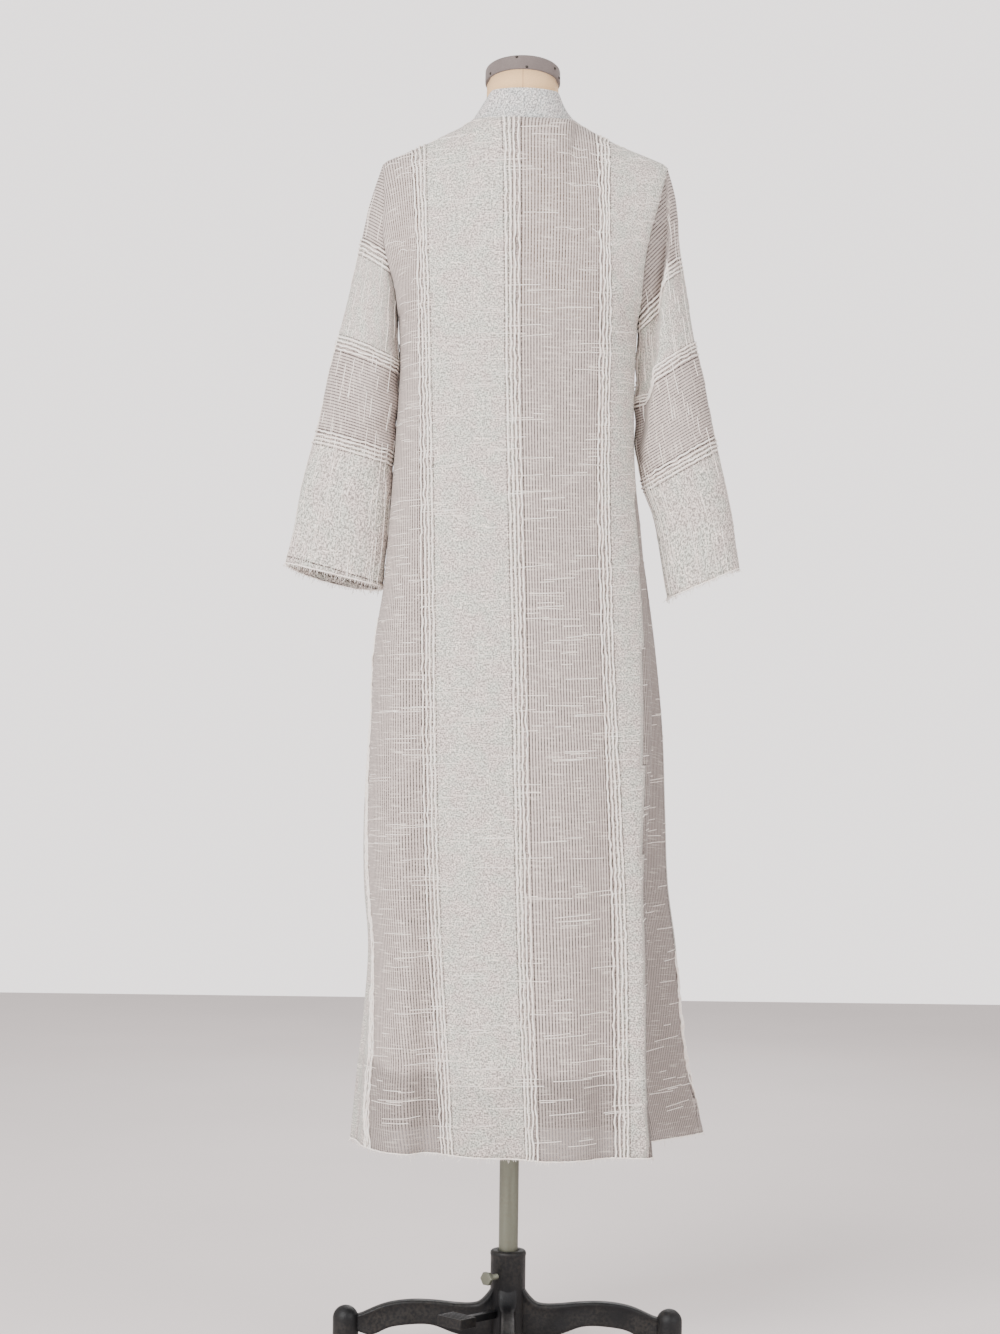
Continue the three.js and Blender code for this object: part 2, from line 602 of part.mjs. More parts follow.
function hubGeometry() {
  const body = toManifold(turned([
    [HUB.bore, HUB.bottom], [HUB.radius - 2, HUB.bottom], [HUB.radius, HUB.bottom + 3], [HUB.radius, HUB.top - 2],
    [HUB.radius - 2, HUB.top], [HUB.bore, HUB.top], [HUB.bore, HUB.bottom],
  ], 36));
  const hole = new THREE.CylinderGeometry(SCREW.shaft + 0.4, SCREW.shaft + 0.4, 2 * HUB.radius, 16)
    .rotateZ(Math.PI / 2)
    .translate(HUB.radius, 0, 0)
    .rotateZ(radians(SCREW.azimuth))
    .translate(0, 0, SCREW.height);
  return fromManifold(body.subtract(toManifold(hole)));
}

const LEG_OUTLINE = [
  [LEG.start, 92], [31, 84], [40, 76], [50, 73.5], [67, 73.5], [102, 76.6], [138, 77], [173, 71], [LEG.end, 56],
  [LEG.end, 32], [194, 27], [164, 38], [138, 42], [105, 42], [74, 31], [48, 25], [LEG.start, 24],
];

function pedalGeometry() {
  const half = PEDAL.length / 2;
  const bottom = PEDAL.height - PEDAL.thickness / 2;
  const plate = new THREE.BoxGeometry(PEDAL.length, PEDAL.width, PEDAL.thickness)
    .translate(PEDAL.reach, 0, PEDAL.height);
  const arm = barAlongX([
    [PEDAL.start, 56], [PEDAL.reach - half + 5, bottom + 2], [PEDAL.reach - half + 5, bottom + 10], [PEDAL.start, 66],
  ], PEDAL.arm);
  return fromManifold(toManifold(plate).add(toManifold(arm)));
}

const FOOT_PROFILE = [
  [0, 0], [FOOT.radius - 3, 0], [FOOT.radius, 4], [FOOT.radius, 50], [FOOT.radius - 1.5, 57], [FOOT.radius - 6, 63.5],
  [FOOT.radius - 12, 67], [0, FOOT.height],
];
const CAP_PROFILE = [
  [0, SEAM], [CAP.radius, SEAM], [CAP.radius, CAP.height - CAP.dome],
  [CAP.radius - 2, CAP.height - CAP.dome / 2], [CAP.radius * 0.7, CAP.height - 1], [0, CAP.height],
];
const POLE_PROFILE = [
  [0, POLE_FOOT], [POLE_RADIUS, POLE_FOOT], [POLE_RADIUS, FORM_BASE - SEAM - PLATE.thickness],
  [PLATE.radius, FORM_BASE - SEAM - PLATE.thickness], [PLATE.radius, FORM_BASE - SEAM], [0, FORM_BASE - SEAM],
];

// ---- the scene graph ----
const FINISHES = {
  shell: { color: 0xc6c2bd, roughness: 0.9, metalness: 0 },
  collarCloth: { color: 0xcdd2d4, roughness: 0.9, metalness: 0 },
  liningCloth: { color: 0xb4aea9, roughness: 0.8, metalness: 0 },
  formCloth: { color: 0xe8d0b4, roughness: 0.85, metalness: 0 },
  capCloth: { color: 0x969498, roughness: 0.8, metalness: 0 },
  steel: { color: 0xa0a096, roughness: 0.35, metalness: 0.9 },
  castIron: { color: 0x343538, roughness: 0.45, metalness: 0.3 },
};

const part = new THREE.Group();
const stand = new THREE.Group();
part.add(stand);

function addPiece(name, geometry, finish, group = stand) {
  const mesh = new THREE.Mesh(geometry, new THREE.MeshStandardMaterial(FINISHES[finish]));
  mesh.name = name;
  group.add(mesh);
  return mesh;
}

for (const [name, geometry] of Object.entries(clothPieces())) {
  addPiece(name, geometry, name === 'collar' ? 'collarCloth' : 'shell');
}
addPiece('lining', liningGeometry(), 'liningCloth');
addPiece('dress_form', formGeometry(), 'formCloth');
const cap = addPiece('neck_cap', turned(CAP_PROFILE, 40), 'capCloth');
cap.rotation.x = -radians(NECK_TOP.tilt);
cap.position.z = NECK_TOP.height;
addPiece('pole', turned(POLE_PROFILE, 36), 'steel');
addPiece('stand_hub', hubGeometry(), 'castIron');

const LEG_NAMES = ['right', 'front', 'left', 'back'];
LEG_NAMES.forEach((name, i) => {
  const turn = i * Math.PI / 2;
  addPiece(`leg_${name}`, barAlongX(LEG_OUTLINE, LEG.width), 'castIron').rotation.z = turn;
  const foot = addPiece(`foot_${name}`, turned(FOOT_PROFILE, 28), 'castIron');
  foot.position.set(FOOT.reach * Math.cos(turn), FOOT.reach * Math.sin(turn), 0);
});

const screw = addPiece('clamp_screw', screwGeometry(), 'steel');
screw.rotation.z = radians(SCREW.azimuth);
screw.position.z = SCREW.height;
addPiece('pedal', pedalGeometry(), 'castIron').rotation.z = radians(PEDAL.azimuth);

// The origin is the middle of the part's box, on the floor.
const span = new THREE.Box3().setFromObject(part);
stand.position.set(-(span.min.x + span.max.x) / 2, -(span.min.y + span.max.y) / 2, 0);

export default part;
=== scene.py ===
"""A long open-weave abaya on a dress form with a four-legged iron stand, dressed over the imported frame.

Every piece is worked out in millimetres round the axis of the stand's pole, with the wearer facing +Y, and
turns to metres when its mesh is made.
"""
import logging
import math
from collections.abc import Iterable, Sequence
from dataclasses import dataclass, field
from enum import Enum

import bmesh
import bpy
import numpy as np
from mathutils import Matrix, Vector


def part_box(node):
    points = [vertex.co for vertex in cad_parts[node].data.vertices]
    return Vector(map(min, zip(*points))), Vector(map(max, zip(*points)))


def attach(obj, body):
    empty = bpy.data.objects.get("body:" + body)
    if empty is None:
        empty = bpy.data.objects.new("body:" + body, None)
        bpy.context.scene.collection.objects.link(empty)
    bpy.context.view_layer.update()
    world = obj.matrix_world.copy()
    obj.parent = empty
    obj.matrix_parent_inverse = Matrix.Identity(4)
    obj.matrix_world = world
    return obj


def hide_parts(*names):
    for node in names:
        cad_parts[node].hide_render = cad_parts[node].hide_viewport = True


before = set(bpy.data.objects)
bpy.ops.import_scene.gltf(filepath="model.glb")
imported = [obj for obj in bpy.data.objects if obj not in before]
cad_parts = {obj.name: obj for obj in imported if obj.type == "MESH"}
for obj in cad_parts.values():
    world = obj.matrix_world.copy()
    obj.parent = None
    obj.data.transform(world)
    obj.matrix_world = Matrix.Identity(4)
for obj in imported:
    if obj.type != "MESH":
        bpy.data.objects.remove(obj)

LOG = logging.getLogger("abaya")
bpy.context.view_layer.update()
MM = 0.001
# The mesh attribute that holds painted shade: the share of light that the cloth's colour keeps.
SHADE_NAME = "painted_shade"
Colour = tuple[float, float, float, float]
Points = np.ndarray

# ---- sizes of the abaya, in millimetres from the pole's axis and the floor ----
# How square the body's plan and its shoulders are: 1 is an oval, and less is squarer.
ROUND = 0.85
SHOULDER_ROUND = 0.77
HEM_HEIGHT = 296.0
ARMPIT_HEIGHT = 1446.0
FOLDS_START = 1250.0
NECK_ANGLE = 18.4
NECK_SHARE = math.sin(math.radians(NECK_ANGLE)) ** ROUND
NECK_SIDE_HEIGHT = 1724.0
V_POINT_HEIGHT = 1560.0
V_CURVE = 0.75
ARMHOLE_DEPTH = 55.0
BAND_PITCH = 126.0
CORD_PITCH = 5.5
CORD_PLACES = (-1.5, -0.5, 0.5, 1.5)


class Side(Enum):
    """A sleeve's side of the wearer's back, with the sign of its X."""

    LEFT = -1
    RIGHT = 1


class Face(Enum):
    """A face of the abaya's body, with the sign of its Y."""

    BACK = -1
    FRONT = 1


class Hold(Enum):
    """How a piece of cloth is held up."""

    DRAPED = "draped"
    HUNG = "hung"


@dataclass(frozen=True)
class Section:
    """How far the body's cloth reaches from the axis at one height."""

    z: float
    left: float
    right: float
    back: float
    front: float


@dataclass(frozen=True)
class SkirtLine:
    """A line down the skirt: its angle under the arms, and where it meets the hem."""

    name: str
    angle: float
    x: float
    y: float


@dataclass(frozen=True)
class Neckline:
    """The height and depth of the neckline at the middle of one face."""

    height: float
    depth: float


@dataclass(frozen=True)
class SleeveRing:
    """The outer and inner end of one ring of a sleeve, and half its depth."""

    out_x: float
    out_z: float
    in_x: float
    in_z: float
    depth: float


@dataclass(frozen=True)
class BandLine:
    """A band of cords across a sleeve, from its outer to its inner end."""

    out_x: float
    out_z: float
    in_x: float
    in_z: float


SECTIONS = (
    Section(296, 225, 280, 152, 158),
    Section(394, 216.5, 256, 147, 151),
    Section(488, 207.5, 243, 141, 145),
    Section(573, 203.5, 234, 136, 139),
    Section(650, 209.5, 223, 132, 134),
    Section(751, 211, 217, 127, 129),
    Section(895, 203.5, 209, 120, 123),
    Section(997, 197.5, 197.5, 115, 119),
    Section(1072, 186.5, 186.5, 112, 117),
    Section(1153, 180, 173.5, 109, 116),
    Section(1225, 174.5, 165, 107, 116),
    Section(1302, 170, 162, 107, 118),
    Section(1395, 167, 162.5, 110, 121),
    Section(1446, 170, 165, 112, 122),
)
SKIRT_LINES = (
    SkirtLine("left side seam", 180, -214, 8),
    SkirtLine("left back edge", 192, -203, -40),
    SkirtLine("left back turn", 204, -178, -84),
    SkirtLine("left back fold", 217, -146, -106),
    SkirtLine("left back valley", 229, -114, -88),
    SkirtLine("left back rise", 240.5, -86, -104),
    SkirtLine("left neck line", 251.6, -56, -124),
    SkirtLine("centre back left", 261, -24, -131),
    SkirtLine("centre back", 270, 6, -132),
    SkirtLine("centre back fold", 279, 38, -150),
    SkirtLine("right neck line", 288.4, 66, -152),
    SkirtLine("right back turn", 299.5, 100, -141),
    SkirtLine("right back valley", 313, 136, -113),
    SkirtLine("right back edge fold", 344, 192, -112),
    SkirtLine("right side seam", 360, 190, -50),
    SkirtLine("right side valley", 366, 186, 10),
    SkirtLine("right front flap", 378, 280, 117),
    SkirtLine("right front turn", 394, 232, 142),
    SkirtLine("right front valley", 412, 170, 120),
    SkirtLine("right front neck line", 431.6, 112, 156),
    SkirtLine("right centre valley", 440, 56, 134),
    SkirtLine("centre front", 450, 6, 158),
    SkirtLine("left centre valley", 460, -48, 136),
    SkirtLine("left front neck line", 468.4, -100, 154),
    SkirtLine("left front valley", 486, -150, 121),
    SkirtLine("left front turn", 504, -196, 112),
    SkirtLine("left front fold", 522, -225, 46),
)
# Places in SKIRT_LINES.
RIGHT_SEAM = 14
FLAP_LINE = 16
CENTRE_FRONT = 21
NECKS = {Face.BACK: Neckline(1719, 66), Face.FRONT: Neckline(1700, 64)}
ARMHOLE_HEIGHTS = (1446, 1484, 1524, 1558, 1605, 1664)
ARMHOLE_REACH = {Side.LEFT: (170, 174, 185, 191, 190, 194), Side.RIGHT: (165, 169, 172, 178, 190, 204)}
SHOULDER_SHARES = (NECK_SHARE, 0.443, 0.68, 0.97, 1.0)
SHOULDER_HEIGHTS = (1724, 1715, 1692, 1668, 1663)
SLEEVE_RINGS = {
    Side.LEFT: (
        SleeveRing(210, 1616, 169.5, 1428, 54),
        SleeveRing(223, 1554, 167.7, 1395, 51),
        SleeveRing(237, 1495, 168.4, 1362, 49),
        SleeveRing(254, 1421, 169.6, 1325, 47),
        SleeveRing(270, 1353, 171.4, 1285, 45),
        SleeveRing(283, 1292, 174.1, 1243, 43),
        SleeveRing(294, 1246, 176, 1207, 41),
        SleeveRing(302.5, 1209, 178.7, 1172, 40),
        SleeveRing(312, 1160, 182.9, 1124, 38),
        SleeveRing(323.5, 1104, 187.3, 1072, 35),
    ),
    Side.RIGHT: (
        SleeveRing(217, 1614, 164.6, 1428, 52),
        SleeveRing(223, 1552, 163.3, 1398, 50),
        SleeveRing(232, 1494, 163.2, 1365, 48),
        SleeveRing(244, 1424, 162.8, 1330, 46),
        SleeveRing(261, 1360, 163.2, 1291, 44),
        SleeveRing(272, 1302, 166.5, 1250, 42),
        SleeveRing(284, 1246, 176, 1210, 40),
        SleeveRing(296, 1194, 191, 1168, 38),
        SleeveRing(304, 1156, 200, 1124, 37),
        SleeveRing(311, 1104, 211, 1060, 35),
    ),
}
# The fold down the right sleeve: its depth, its edge on each ring from the armhole down, and its turned wall.
TUCK = {Side.LEFT: 0.0, Side.RIGHT: 0.62}
TUCK_EDGE = (0.97, 0.8, 0.62, 0.44, 0.29, 0.18, 0.09, 0.0, -0.1, -0.2, -0.3)
TUCK_WALL = 0.07
# How much lower each cuff's front hangs, and how far the pattern grows for each millimetre of the cuff.
CUFF_DROPS = {Side.LEFT: 12.0, Side.RIGHT: -6.0}
CUFF_PATTERN = 0.64
CUFF_START = 14.0
# Bands of cords across each sleeve, from the top, and the same ones inside the fold.
BAND_LINES = {
    Side.LEFT: (
        BandLine(222, 1546, 184, 1519),
        BandLine(254, 1412, 171, 1379),
        BandLine(285, 1281, 172, 1250),
    ),
    Side.RIGHT: (
        BandLine(222, 1525, 199, 1507),
        BandLine(247, 1411, 188, 1371),
        BandLine(277, 1278, 179, 1220),
    ),
}
TUCKED_LINES = (
    BandLine(197, 1475.5, 179, 1456.5),
    BandLine(188, 1341, 161, 1334),
    BandLine(277, 1278, 179, 1220),
)
# Heights and places across: the back's bands, and the line where it turns to the right side.
BACK_BANDS = {
    -1: ((292, 635, 1055, 1334, 1642, 1700), (-84, -109, -122, -129, -142, -147)),
    0: ((290, 635, 1055, 1334, 1700, 1730), (30, 15, 2, -8, -15, -16)),
    1: ((284, 634, 914, 1194, 1474, 1684), (153, 144, 128, 117, 116, 112)),
}
BACK_TURN = ((304, 440, 753, 846, 950, 1054, 1140, 1192, 1260), (186, 184, 176, 176, 176, 172, 168, 163, 176))
# How far the pattern jumps where the back turns, in band pitches. The jump packs one band's cord gaps into a
# narrow strip, a painted shadow line along the edge, and starts an open band beyond it.
TURN_PATTERN = 0.7
# Painted shade: the share of light that the cloth's colour keeps beyond the turn, where the side lies in
# shadow, and below the lining, where the shaded inside shows through the open weave.
TURN_SHADE = 0.66
BARE_SHADE = 0.66
# Pattern places at the centre front and at the flap's edge, and where the flap's cords end.
FRONT_PATTERN = -90.0
FLAP_PATTERN = -380.0
FLAP_CORDS_TOP = 560.0
# The outermost left band: its heights and places, how it is drawn in there, and the pattern's growth to it.
LEFT_BAND = ((292, 440, 600), (-196, -206, -222))
LEFT_BAND_DRAW = 14.0
LEFT_STRETCH = 0.95
# The bands that have raised cords on each face, and how high each one reaches.
BODY_CORDS = {
    Face.BACK: {-2: math.inf, -1: math.inf, 0: math.inf, 1: math.inf},
    Face.FRONT: {-3: FLAP_CORDS_TOP, -2: 1420.0, -1: math.inf, 0: math.inf, 1: 1420.0},
}
LINING_HEM = 407.0


# ---- small helpers ----
def srgb(red: float, green: float, blue: float) -> Colour:
    """A colour given as 0 to 255 display values, as the linear colour that a shader takes."""
    return (*(((value / 255 + 0.055) / 1.055) ** 2.4 for value in (red, green, blue)), 1.0)


def mix(first: Points | float, second: Points | float, share: Points | float) -> Points:
    """The value that lies at the share of the way from the first to the second."""
    return first + (second - first) * share


def smoothstep(value: Points | float, low: float, high: float) -> Points:
    """A smooth rise from 0 at low to 1 at high."""
    share = np.clip((value - low) / (high - low), 0, 1)
    return share * share * (3 - 2 * share)


def signed_power(value: Points, power: float) -> Points:
    """The value's size to the power, with its sign kept."""
    return np.sign(value) * np.abs(value) ** power


def smooth_lookup(places: Sequence[float], values: Sequence, at: Points | float) -> Points:
    """Reads a table along a smooth curve through its points.

    Args:
        places: The table's places, rising.
        values: The value at each place, as a number or an array of any shape.
        at: The places to read, held within the table's.

    Returns:
        The values read, one for each place in at.
    """
    places = np.asarray(places, float)
    values = np.asarray(values, float)
    slopes = np.gradient(values, places, axis=0)
    at = np.clip(np.asarray(at, float), places[0], places[-1])
    i = np.clip(np.searchsorted(places, at, side="right") - 1, 0, len(places) - 2)
    gap = places[i + 1] - places[i]
    t = (at - places[i]) / gap
    shape = at.shape + (1,) * (values.ndim - 1)
    t, gap = t.reshape(shape), gap.reshape(shape)
    return ((2 * t**3 - 3 * t**2 + 1) * values[i] + (t**3 - 2 * t**2 + t) * gap * slopes[i]
            + (3 * t**2 - 2 * t**3) * values[i + 1] + (t**3 - t**2) * gap * slopes[i + 1])


def smooth_loop(values: Sequence[float], per: int, turn: float = 0.0) -> Points:
    """Points on a smooth closed curve, with the turn added after each lap.

    Args:
        values: The values that the curve passes through.
        per: How many points each stretch between two values gets.
        turn: How much the value has grown after one lap.

    Returns:
        The values along the curve.
    """
    knots = np.array([values[-1] - turn, *values, values[0] + turn, values[1] + turn], float)
    before, start, end, after = (knots[i:i + len(values), None] for i in range(4))
    t = np.arange(per) / per
    curve = start + 0.5 * t * (end - before + t * (2 * before - 5 * start + 4 * end - after
                                                   + t * (3 * (start - end) + after - before)))
    return curve.ravel()


def grid_normals(grid: Points) -> Points:
    """Outward normals of a grid of points, one for each point.

    Args:
        grid: Rows by columns of points.

    Returns:
        The unit normals.
    """
    across = np.gradient(grid, axis=1)
    up = np.gradient(grid, axis=0)
    normal = np.cross(across, up)
    return normal / np.maximum(np.linalg.norm(normal, axis=-1, keepdims=True), 1e-9)


def arc_lengths(grid: Points, axis: int) -> Points:
    """Length along each row (axis 1) or column (axis 0) of a grid, up to each point.

    Args:
        grid: Rows by columns of points.
        axis: 1 along rows, 0 along columns.

    Returns:
        The length up to each point.
    """
    steps = np.linalg.norm(np.diff(grid, axis=axis), axis=-1)
    start = np.zeros_like(np.take(steps, [0], axis=axis))
    return np.concatenate([start, np.cumsum(steps, axis=axis)], axis=axis)


def pole_axis() -> float:
    """X of the pole's axis in the frame, in millimetres."""
    low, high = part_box("pole")
    return (low.x + high.x) / 2 / MM


AXIS_X = pole_axis()


def to_frame(points: Points) -> Points:
    """Points from millimetres round the pole to metres in the frame."""
    return (points + np.array([AXIS_X, 0, 0])) * MM


def new_object(name: str, vertices: Points, edges: Sequence, faces: Sequence) -> bpy.types.Object:
    """An object at the origin with a mesh of these points, in millimetres round the pole.

    Args:
        name: The object's name.
        vertices: The points.
        edges: Pairs of points, where there are no faces.
        faces: The points round each face.

    Returns:
        The object.
    """
    mesh = bpy.data.meshes.new(name)
    mesh.from_pydata(to_frame(np.asarray(vertices, float)).tolist(), edges, faces)
    mesh.update()
    piece = bpy.data.objects.new(name, mesh)
    bpy.context.scene.collection.objects.link(piece)
    return piece


def merge(piece: bpy.types.Object, recalculate: bool = False) -> None:
    """Closes a mesh's seams and poles, and turns its faces outwards where asked.

    Args:
        piece: The piece.
        recalculate: True to turn the faces outwards.
    """
    work = bmesh.new()
    work.from_mesh(piece.data)
    bmesh.ops.remove_doubles(work, verts=work.verts, dist=2e-6)
    if recalculate:
        bmesh.ops.recalc_face_normals(work, faces=work.faces)
    work.to_mesh(piece.data)
    work.free()


def grid_quads(rows: int, columns: int) -> Points:
    """The four corners of every cell of a grid, counted from its first point."""
    index = np.arange(rows * columns).reshape(rows, columns)
    return np.stack([index[:-1, :-1], index[:-1, 1:], index[1:, 1:], index[1:, :-1]], -1).reshape(-1, 4)


def grid_object(name: str, grid: Points, uv: Points | None = None, closed: bool = False,
                shade: Points | float | None = None) -> bpy.types.Object:
    """A smooth mesh through a grid of points.

    Args:
        name: The object's name.
        grid: Rows by columns of points, in millimetres.
        uv: Rows by columns of pattern places, in metres, if the pattern follows the cloth.
        closed: True where a first and last row or column meet, or rows shrink to a pole.
        shade: The painted shade: how much light each point's colour keeps, where folds take some of it.

    Returns:
        The object.
    """
    rows, columns, _ = grid.shape
    quads = grid_quads(rows, columns)
    piece = new_object(name, grid.reshape(-1, 3), [], quads.tolist())
    if uv is not None:
        layer = piece.data.uv_layers.new(name="weave")
        layer.data.foreach_set("uv", uv.reshape(-1, 2)[quads.ravel()].ravel())
    if shade is not None:
        kept = piece.data.attributes.new(SHADE_NAME, "FLOAT", "POINT")
        kept.data.foreach_set("value", np.broadcast_to(shade, (rows, columns)).astype(np.float32).ravel())
    if closed:
        merge(piece)
    piece.data.shade_smooth()
    return piece


def turned_object(name: str, profile: Sequence[tuple[float, float]], segments: int = 72) -> bpy.types.Object:
    """A closed turned piece on the pole's axis, from (radius, height) pairs, upwards.

    Args:
        name: The object's name.
        profile: The pairs, in millimetres.
        segments: How many steps go round.

    Returns:
        The object.
    """
    turns = np.linspace(0, 2 * math.pi, segments + 1)
    radius, height = np.array(profile, float).T[:, :, None]
    grid = np.stack([radius * np.cos(turns), radius * np.sin(turns), height + 0 * turns], -1)
    piece = grid_object(name, grid)
    merge(piece, recalculate=True)
    return piece


def move_mesh(piece: bpy.types.Object, turn: Matrix | None = None, shift: Vector | None = None) -> None:
    """Turns a mesh about the pole's axis at the floor and then shifts it, in metres.

    Args:
        piece: The piece.
        turn: The turn.
        shift: The shift.
    """
    axis = Vector((AXIS_X * MM, 0, 0))
    placed = Matrix.Translation(axis + (shift or Vector()))
    piece.data.transform(placed @ (turn or Matrix.Identity(4)) @ Matrix.Translation(-axis))


def crisp(piece: bpy.types.Object, degrees: float = 32) -> None:
    """Shades a hard piece smooth except over its sharp edges."""
    piece.data.set_sharp_from_angle(angle=math.radians(degrees))


# ---- shader graphs ----
class Graph:
    """Short calls for adding and joining the nodes of one tree."""

    def __init__(self, tree: bpy.types.NodeTree) -> None:
        """Takes the tree that the nodes are added to."""
        self.tree = tree

    def add(self, kind: str, inputs: dict | None = None, **settings: object) -> bpy.types.Node:
        """Adds a node.

        Args:
            kind: The node's type.
            inputs: A value or a socket for each input, by its name or number.
            **settings: The node's own settings.

        Returns:
            The node.
        """
        node = self.tree.nodes.new(kind)
        for name, value in settings.items():
            setattr(node, name, value)
        for name, value in (inputs or {}).items():
            self.feed(node.inputs[name], value)
        return node

    def feed(self, socket: bpy.types.NodeSocket, value: object) -> None:
        """Links a socket to another one, or gives it a value.

        Args:
            socket: The socket to feed.
            value: Another socket, or a value.
        """
        if isinstance(value, bpy.types.NodeSocket):
            self.tree.links.new(value, socket)
        else:
            socket.default_value = value

    def math(self, operation: str, first: object, second: object = 0.5,
             third: object = 0.5) -> bpy.types.NodeSocket:
        """The result of a sum on numbers or sockets."""
        return self.add("ShaderNodeMath", {0: first, 1: second, 2: third}, operation=operation).outputs[0]

    def ramp(self, value: object, low: float, high: float, start: float = 0.0,
             end: float = 1.0) -> bpy.types.NodeSocket:
        """A smooth change from start at low to end at high."""
        inputs = {"Value": value, "From Min": low, "From Max": high, "To Min": start, "To Max": end}
        return self.add("ShaderNodeMapRange", inputs, interpolation_type="SMOOTHSTEP").outputs["Result"]

    def blend(self, factor: object, first: object, second: object, mode: str = "MIX") -> bpy.types.NodeSocket:
        """A mixture of two colours."""
        return self.add("ShaderNodeMix", {0: factor, 6: first, 7: second}, data_type="RGBA",
                        blend_type=mode).outputs[2]

    def stretch(self, vector: object, x: object, y: object, z: object = 1.0) -> bpy.types.NodeSocket:
        """A vector with each part scaled."""
        scale = self.add("ShaderNodeCombineXYZ", {0: x, 1: y, 2: z}).outputs[0]
        return self.add("ShaderNodeVectorMath", {0: vector, 1: scale}, operation="MULTIPLY").outputs[0]

    def noise(self, vector: object, scale: object, detail: float = 2.0) -> bpy.types.NodeSocket:
        """Soft noise from 0 to 1."""
        inputs = {"Vector": vector, "Scale": scale, "Detail": detail}
        return self.add("ShaderNodeTexNoise", inputs).outputs["Fac"]

    def group(self, tree: bpy.types.NodeTree, **inputs: object) -> bpy.types.Node:
        """Places a node group, with its inputs given by name, spaces written as underscores.

        Args:
            tree: The group.
            **inputs: A value or a socket for each input.

        Returns:
            The group's node.
        """
        node = self.add("ShaderNodeGroup", node_tree=tree)
        for name, value in inputs.items():
            self.feed(node.inputs[name.replace("_", " ")], value)
        return node


def shader_group(name: str, inputs: dict[str, float | tuple],
                 outputs: Iterable[str]) -> tuple[Graph, dict, dict]:
    """Makes an empty shader node group.

    Args:
        name: The group's name.
        inputs: The default of each input, a number or a vector.
        outputs: The names of its outputs, all of them numbers.

    Returns:
        The graph, the sockets of its inputs and the sockets to feed its outputs, by name.
    """
    tree = bpy.data.node_groups.new(name, "ShaderNodeTree")
    for label, default in inputs.items():
        kind = "NodeSocketVector" if isinstance(default, tuple) else "NodeSocketFloat"
        socket = tree.interface.new_socket(label, in_out="INPUT", socket_type=kind)
        socket.default_value = default
    for label in outputs:
        tree.interface.new_socket(label, in_out="OUTPUT", socket_type="NodeSocketFloat")
    graph = Graph(tree)
    source = graph.add("NodeGroupInput")
    target = graph.add("NodeGroupOutput")
    given = {label: source.outputs[label] for label in inputs}
    return graph, given, {label: target.inputs[label] for label in outputs}


def cord_band_group() -> bpy.types.NodeTree:
    """Bands across the cloth: where the weave is open, and the gaps between the raised cords, where shade is
    painted.

    Returns:
        The group.
    """
    graph, given, result = shader_group(
        "cord_bands",
        {"Across": 0.0, "Along": 0.0, "Band Pitch": BAND_PITCH * MM, "Cord Pitch": CORD_PITCH * MM},
        ("Open", "Gap"))
    bands = graph.math("DIVIDE", given["Across"], given["Band Pitch"])
    parity = graph.math("FLOORED_MODULO", graph.math("FLOOR", bands), 2.0)
    graph.feed(result["Open"], graph.math("LESS_THAN", parity, 0.5))
    nearest = graph.math("ROUND", bands)
    offset = graph.math("MULTIPLY", graph.math("SUBTRACT", bands, nearest), given["Band Pitch"])
    steps = graph.math("DIVIDE", offset, given["Cord Pitch"])
    between = graph.ramp(graph.math("COSINE", graph.math("MULTIPLY", steps, 2 * math.pi)), 0.35, 0.95)
    inside = graph.math("LESS_THAN", graph.math("ABSOLUTE", steps), 2.35)
    place = graph.add("ShaderNodeCombineXYZ", {0: graph.math("MULTIPLY", given["Across"], 150.0),
                                               1: graph.math("MULTIPLY", given["Along"], 150.0)}).outputs[0]
    beat = graph.math("ADD", graph.math("DIVIDE", given["Along"], 0.004),
                      graph.math("MULTIPLY", graph.noise(place, 1.0, 1.0), 2.5))
    dots = graph.ramp(graph.math("COSINE", graph.math("MULTIPLY", beat, 2 * math.pi)), -0.6, 0.4, 0.25, 1.0)
    graph.feed(result["Gap"], graph.math("MULTIPLY", graph.math("MULTIPLY", between, inside), dots))
    return graph.tree


def open_rib_group() -> bpy.types.NodeTree:
    """Ribs of an open weave, with a row of broken holes beside each rib.

    Returns:
        The group.
    """
    graph, given, result = shader_group("open_ribs", {"Across": 0.0, "Along": 0.0, "Rib Pitch": 0.004},
                                        ("Hole", "Height"))
    ribs = graph.math("DIVIDE", given["Across"], given["Rib Pitch"])
    place = graph.add("ShaderNodeCombineXYZ", {0: graph.math("MULTIPLY", ribs, 0.9),
                                               1: graph.math("MULTIPLY", given["Along"], 190.0)}).outputs[0]
    wander = graph.noise(place, 1.0, 2.0)
    phase = graph.math("ADD", ribs, graph.math("MULTIPLY", wander, 0.16))
    wave = graph.math("COSINE", graph.math("MULTIPLY", phase, 2 * math.pi))
    dashes = graph.math("DIVIDE", given["Along"], graph.math("MULTIPLY", given["Rib Pitch"], 1.1))
    dashes = graph.math("ADD", dashes, graph.math("MULTIPLY", wander, 2.2))
    dashed = graph.math("COSINE", graph.math("MULTIPLY", dashes, 2 * math.pi))
    dashed = graph.ramp(dashed, -0.7, 0.6, 0.5, 1.0)
    strong = graph.ramp(graph.noise(place, 0.16, 1.0), 0.3, 0.65, 0.82, 1.0)
    hole = graph.math("MULTIPLY", graph.ramp(wave, -0.1, 0.8), graph.math("MULTIPLY", dashed, strong))
    graph.feed(result["Hole"], hole)
    graph.feed(result["Height"], graph.math("SUBTRACT", 0.6, graph.math("MULTIPLY", wave, 0.4)))
    return graph.tree


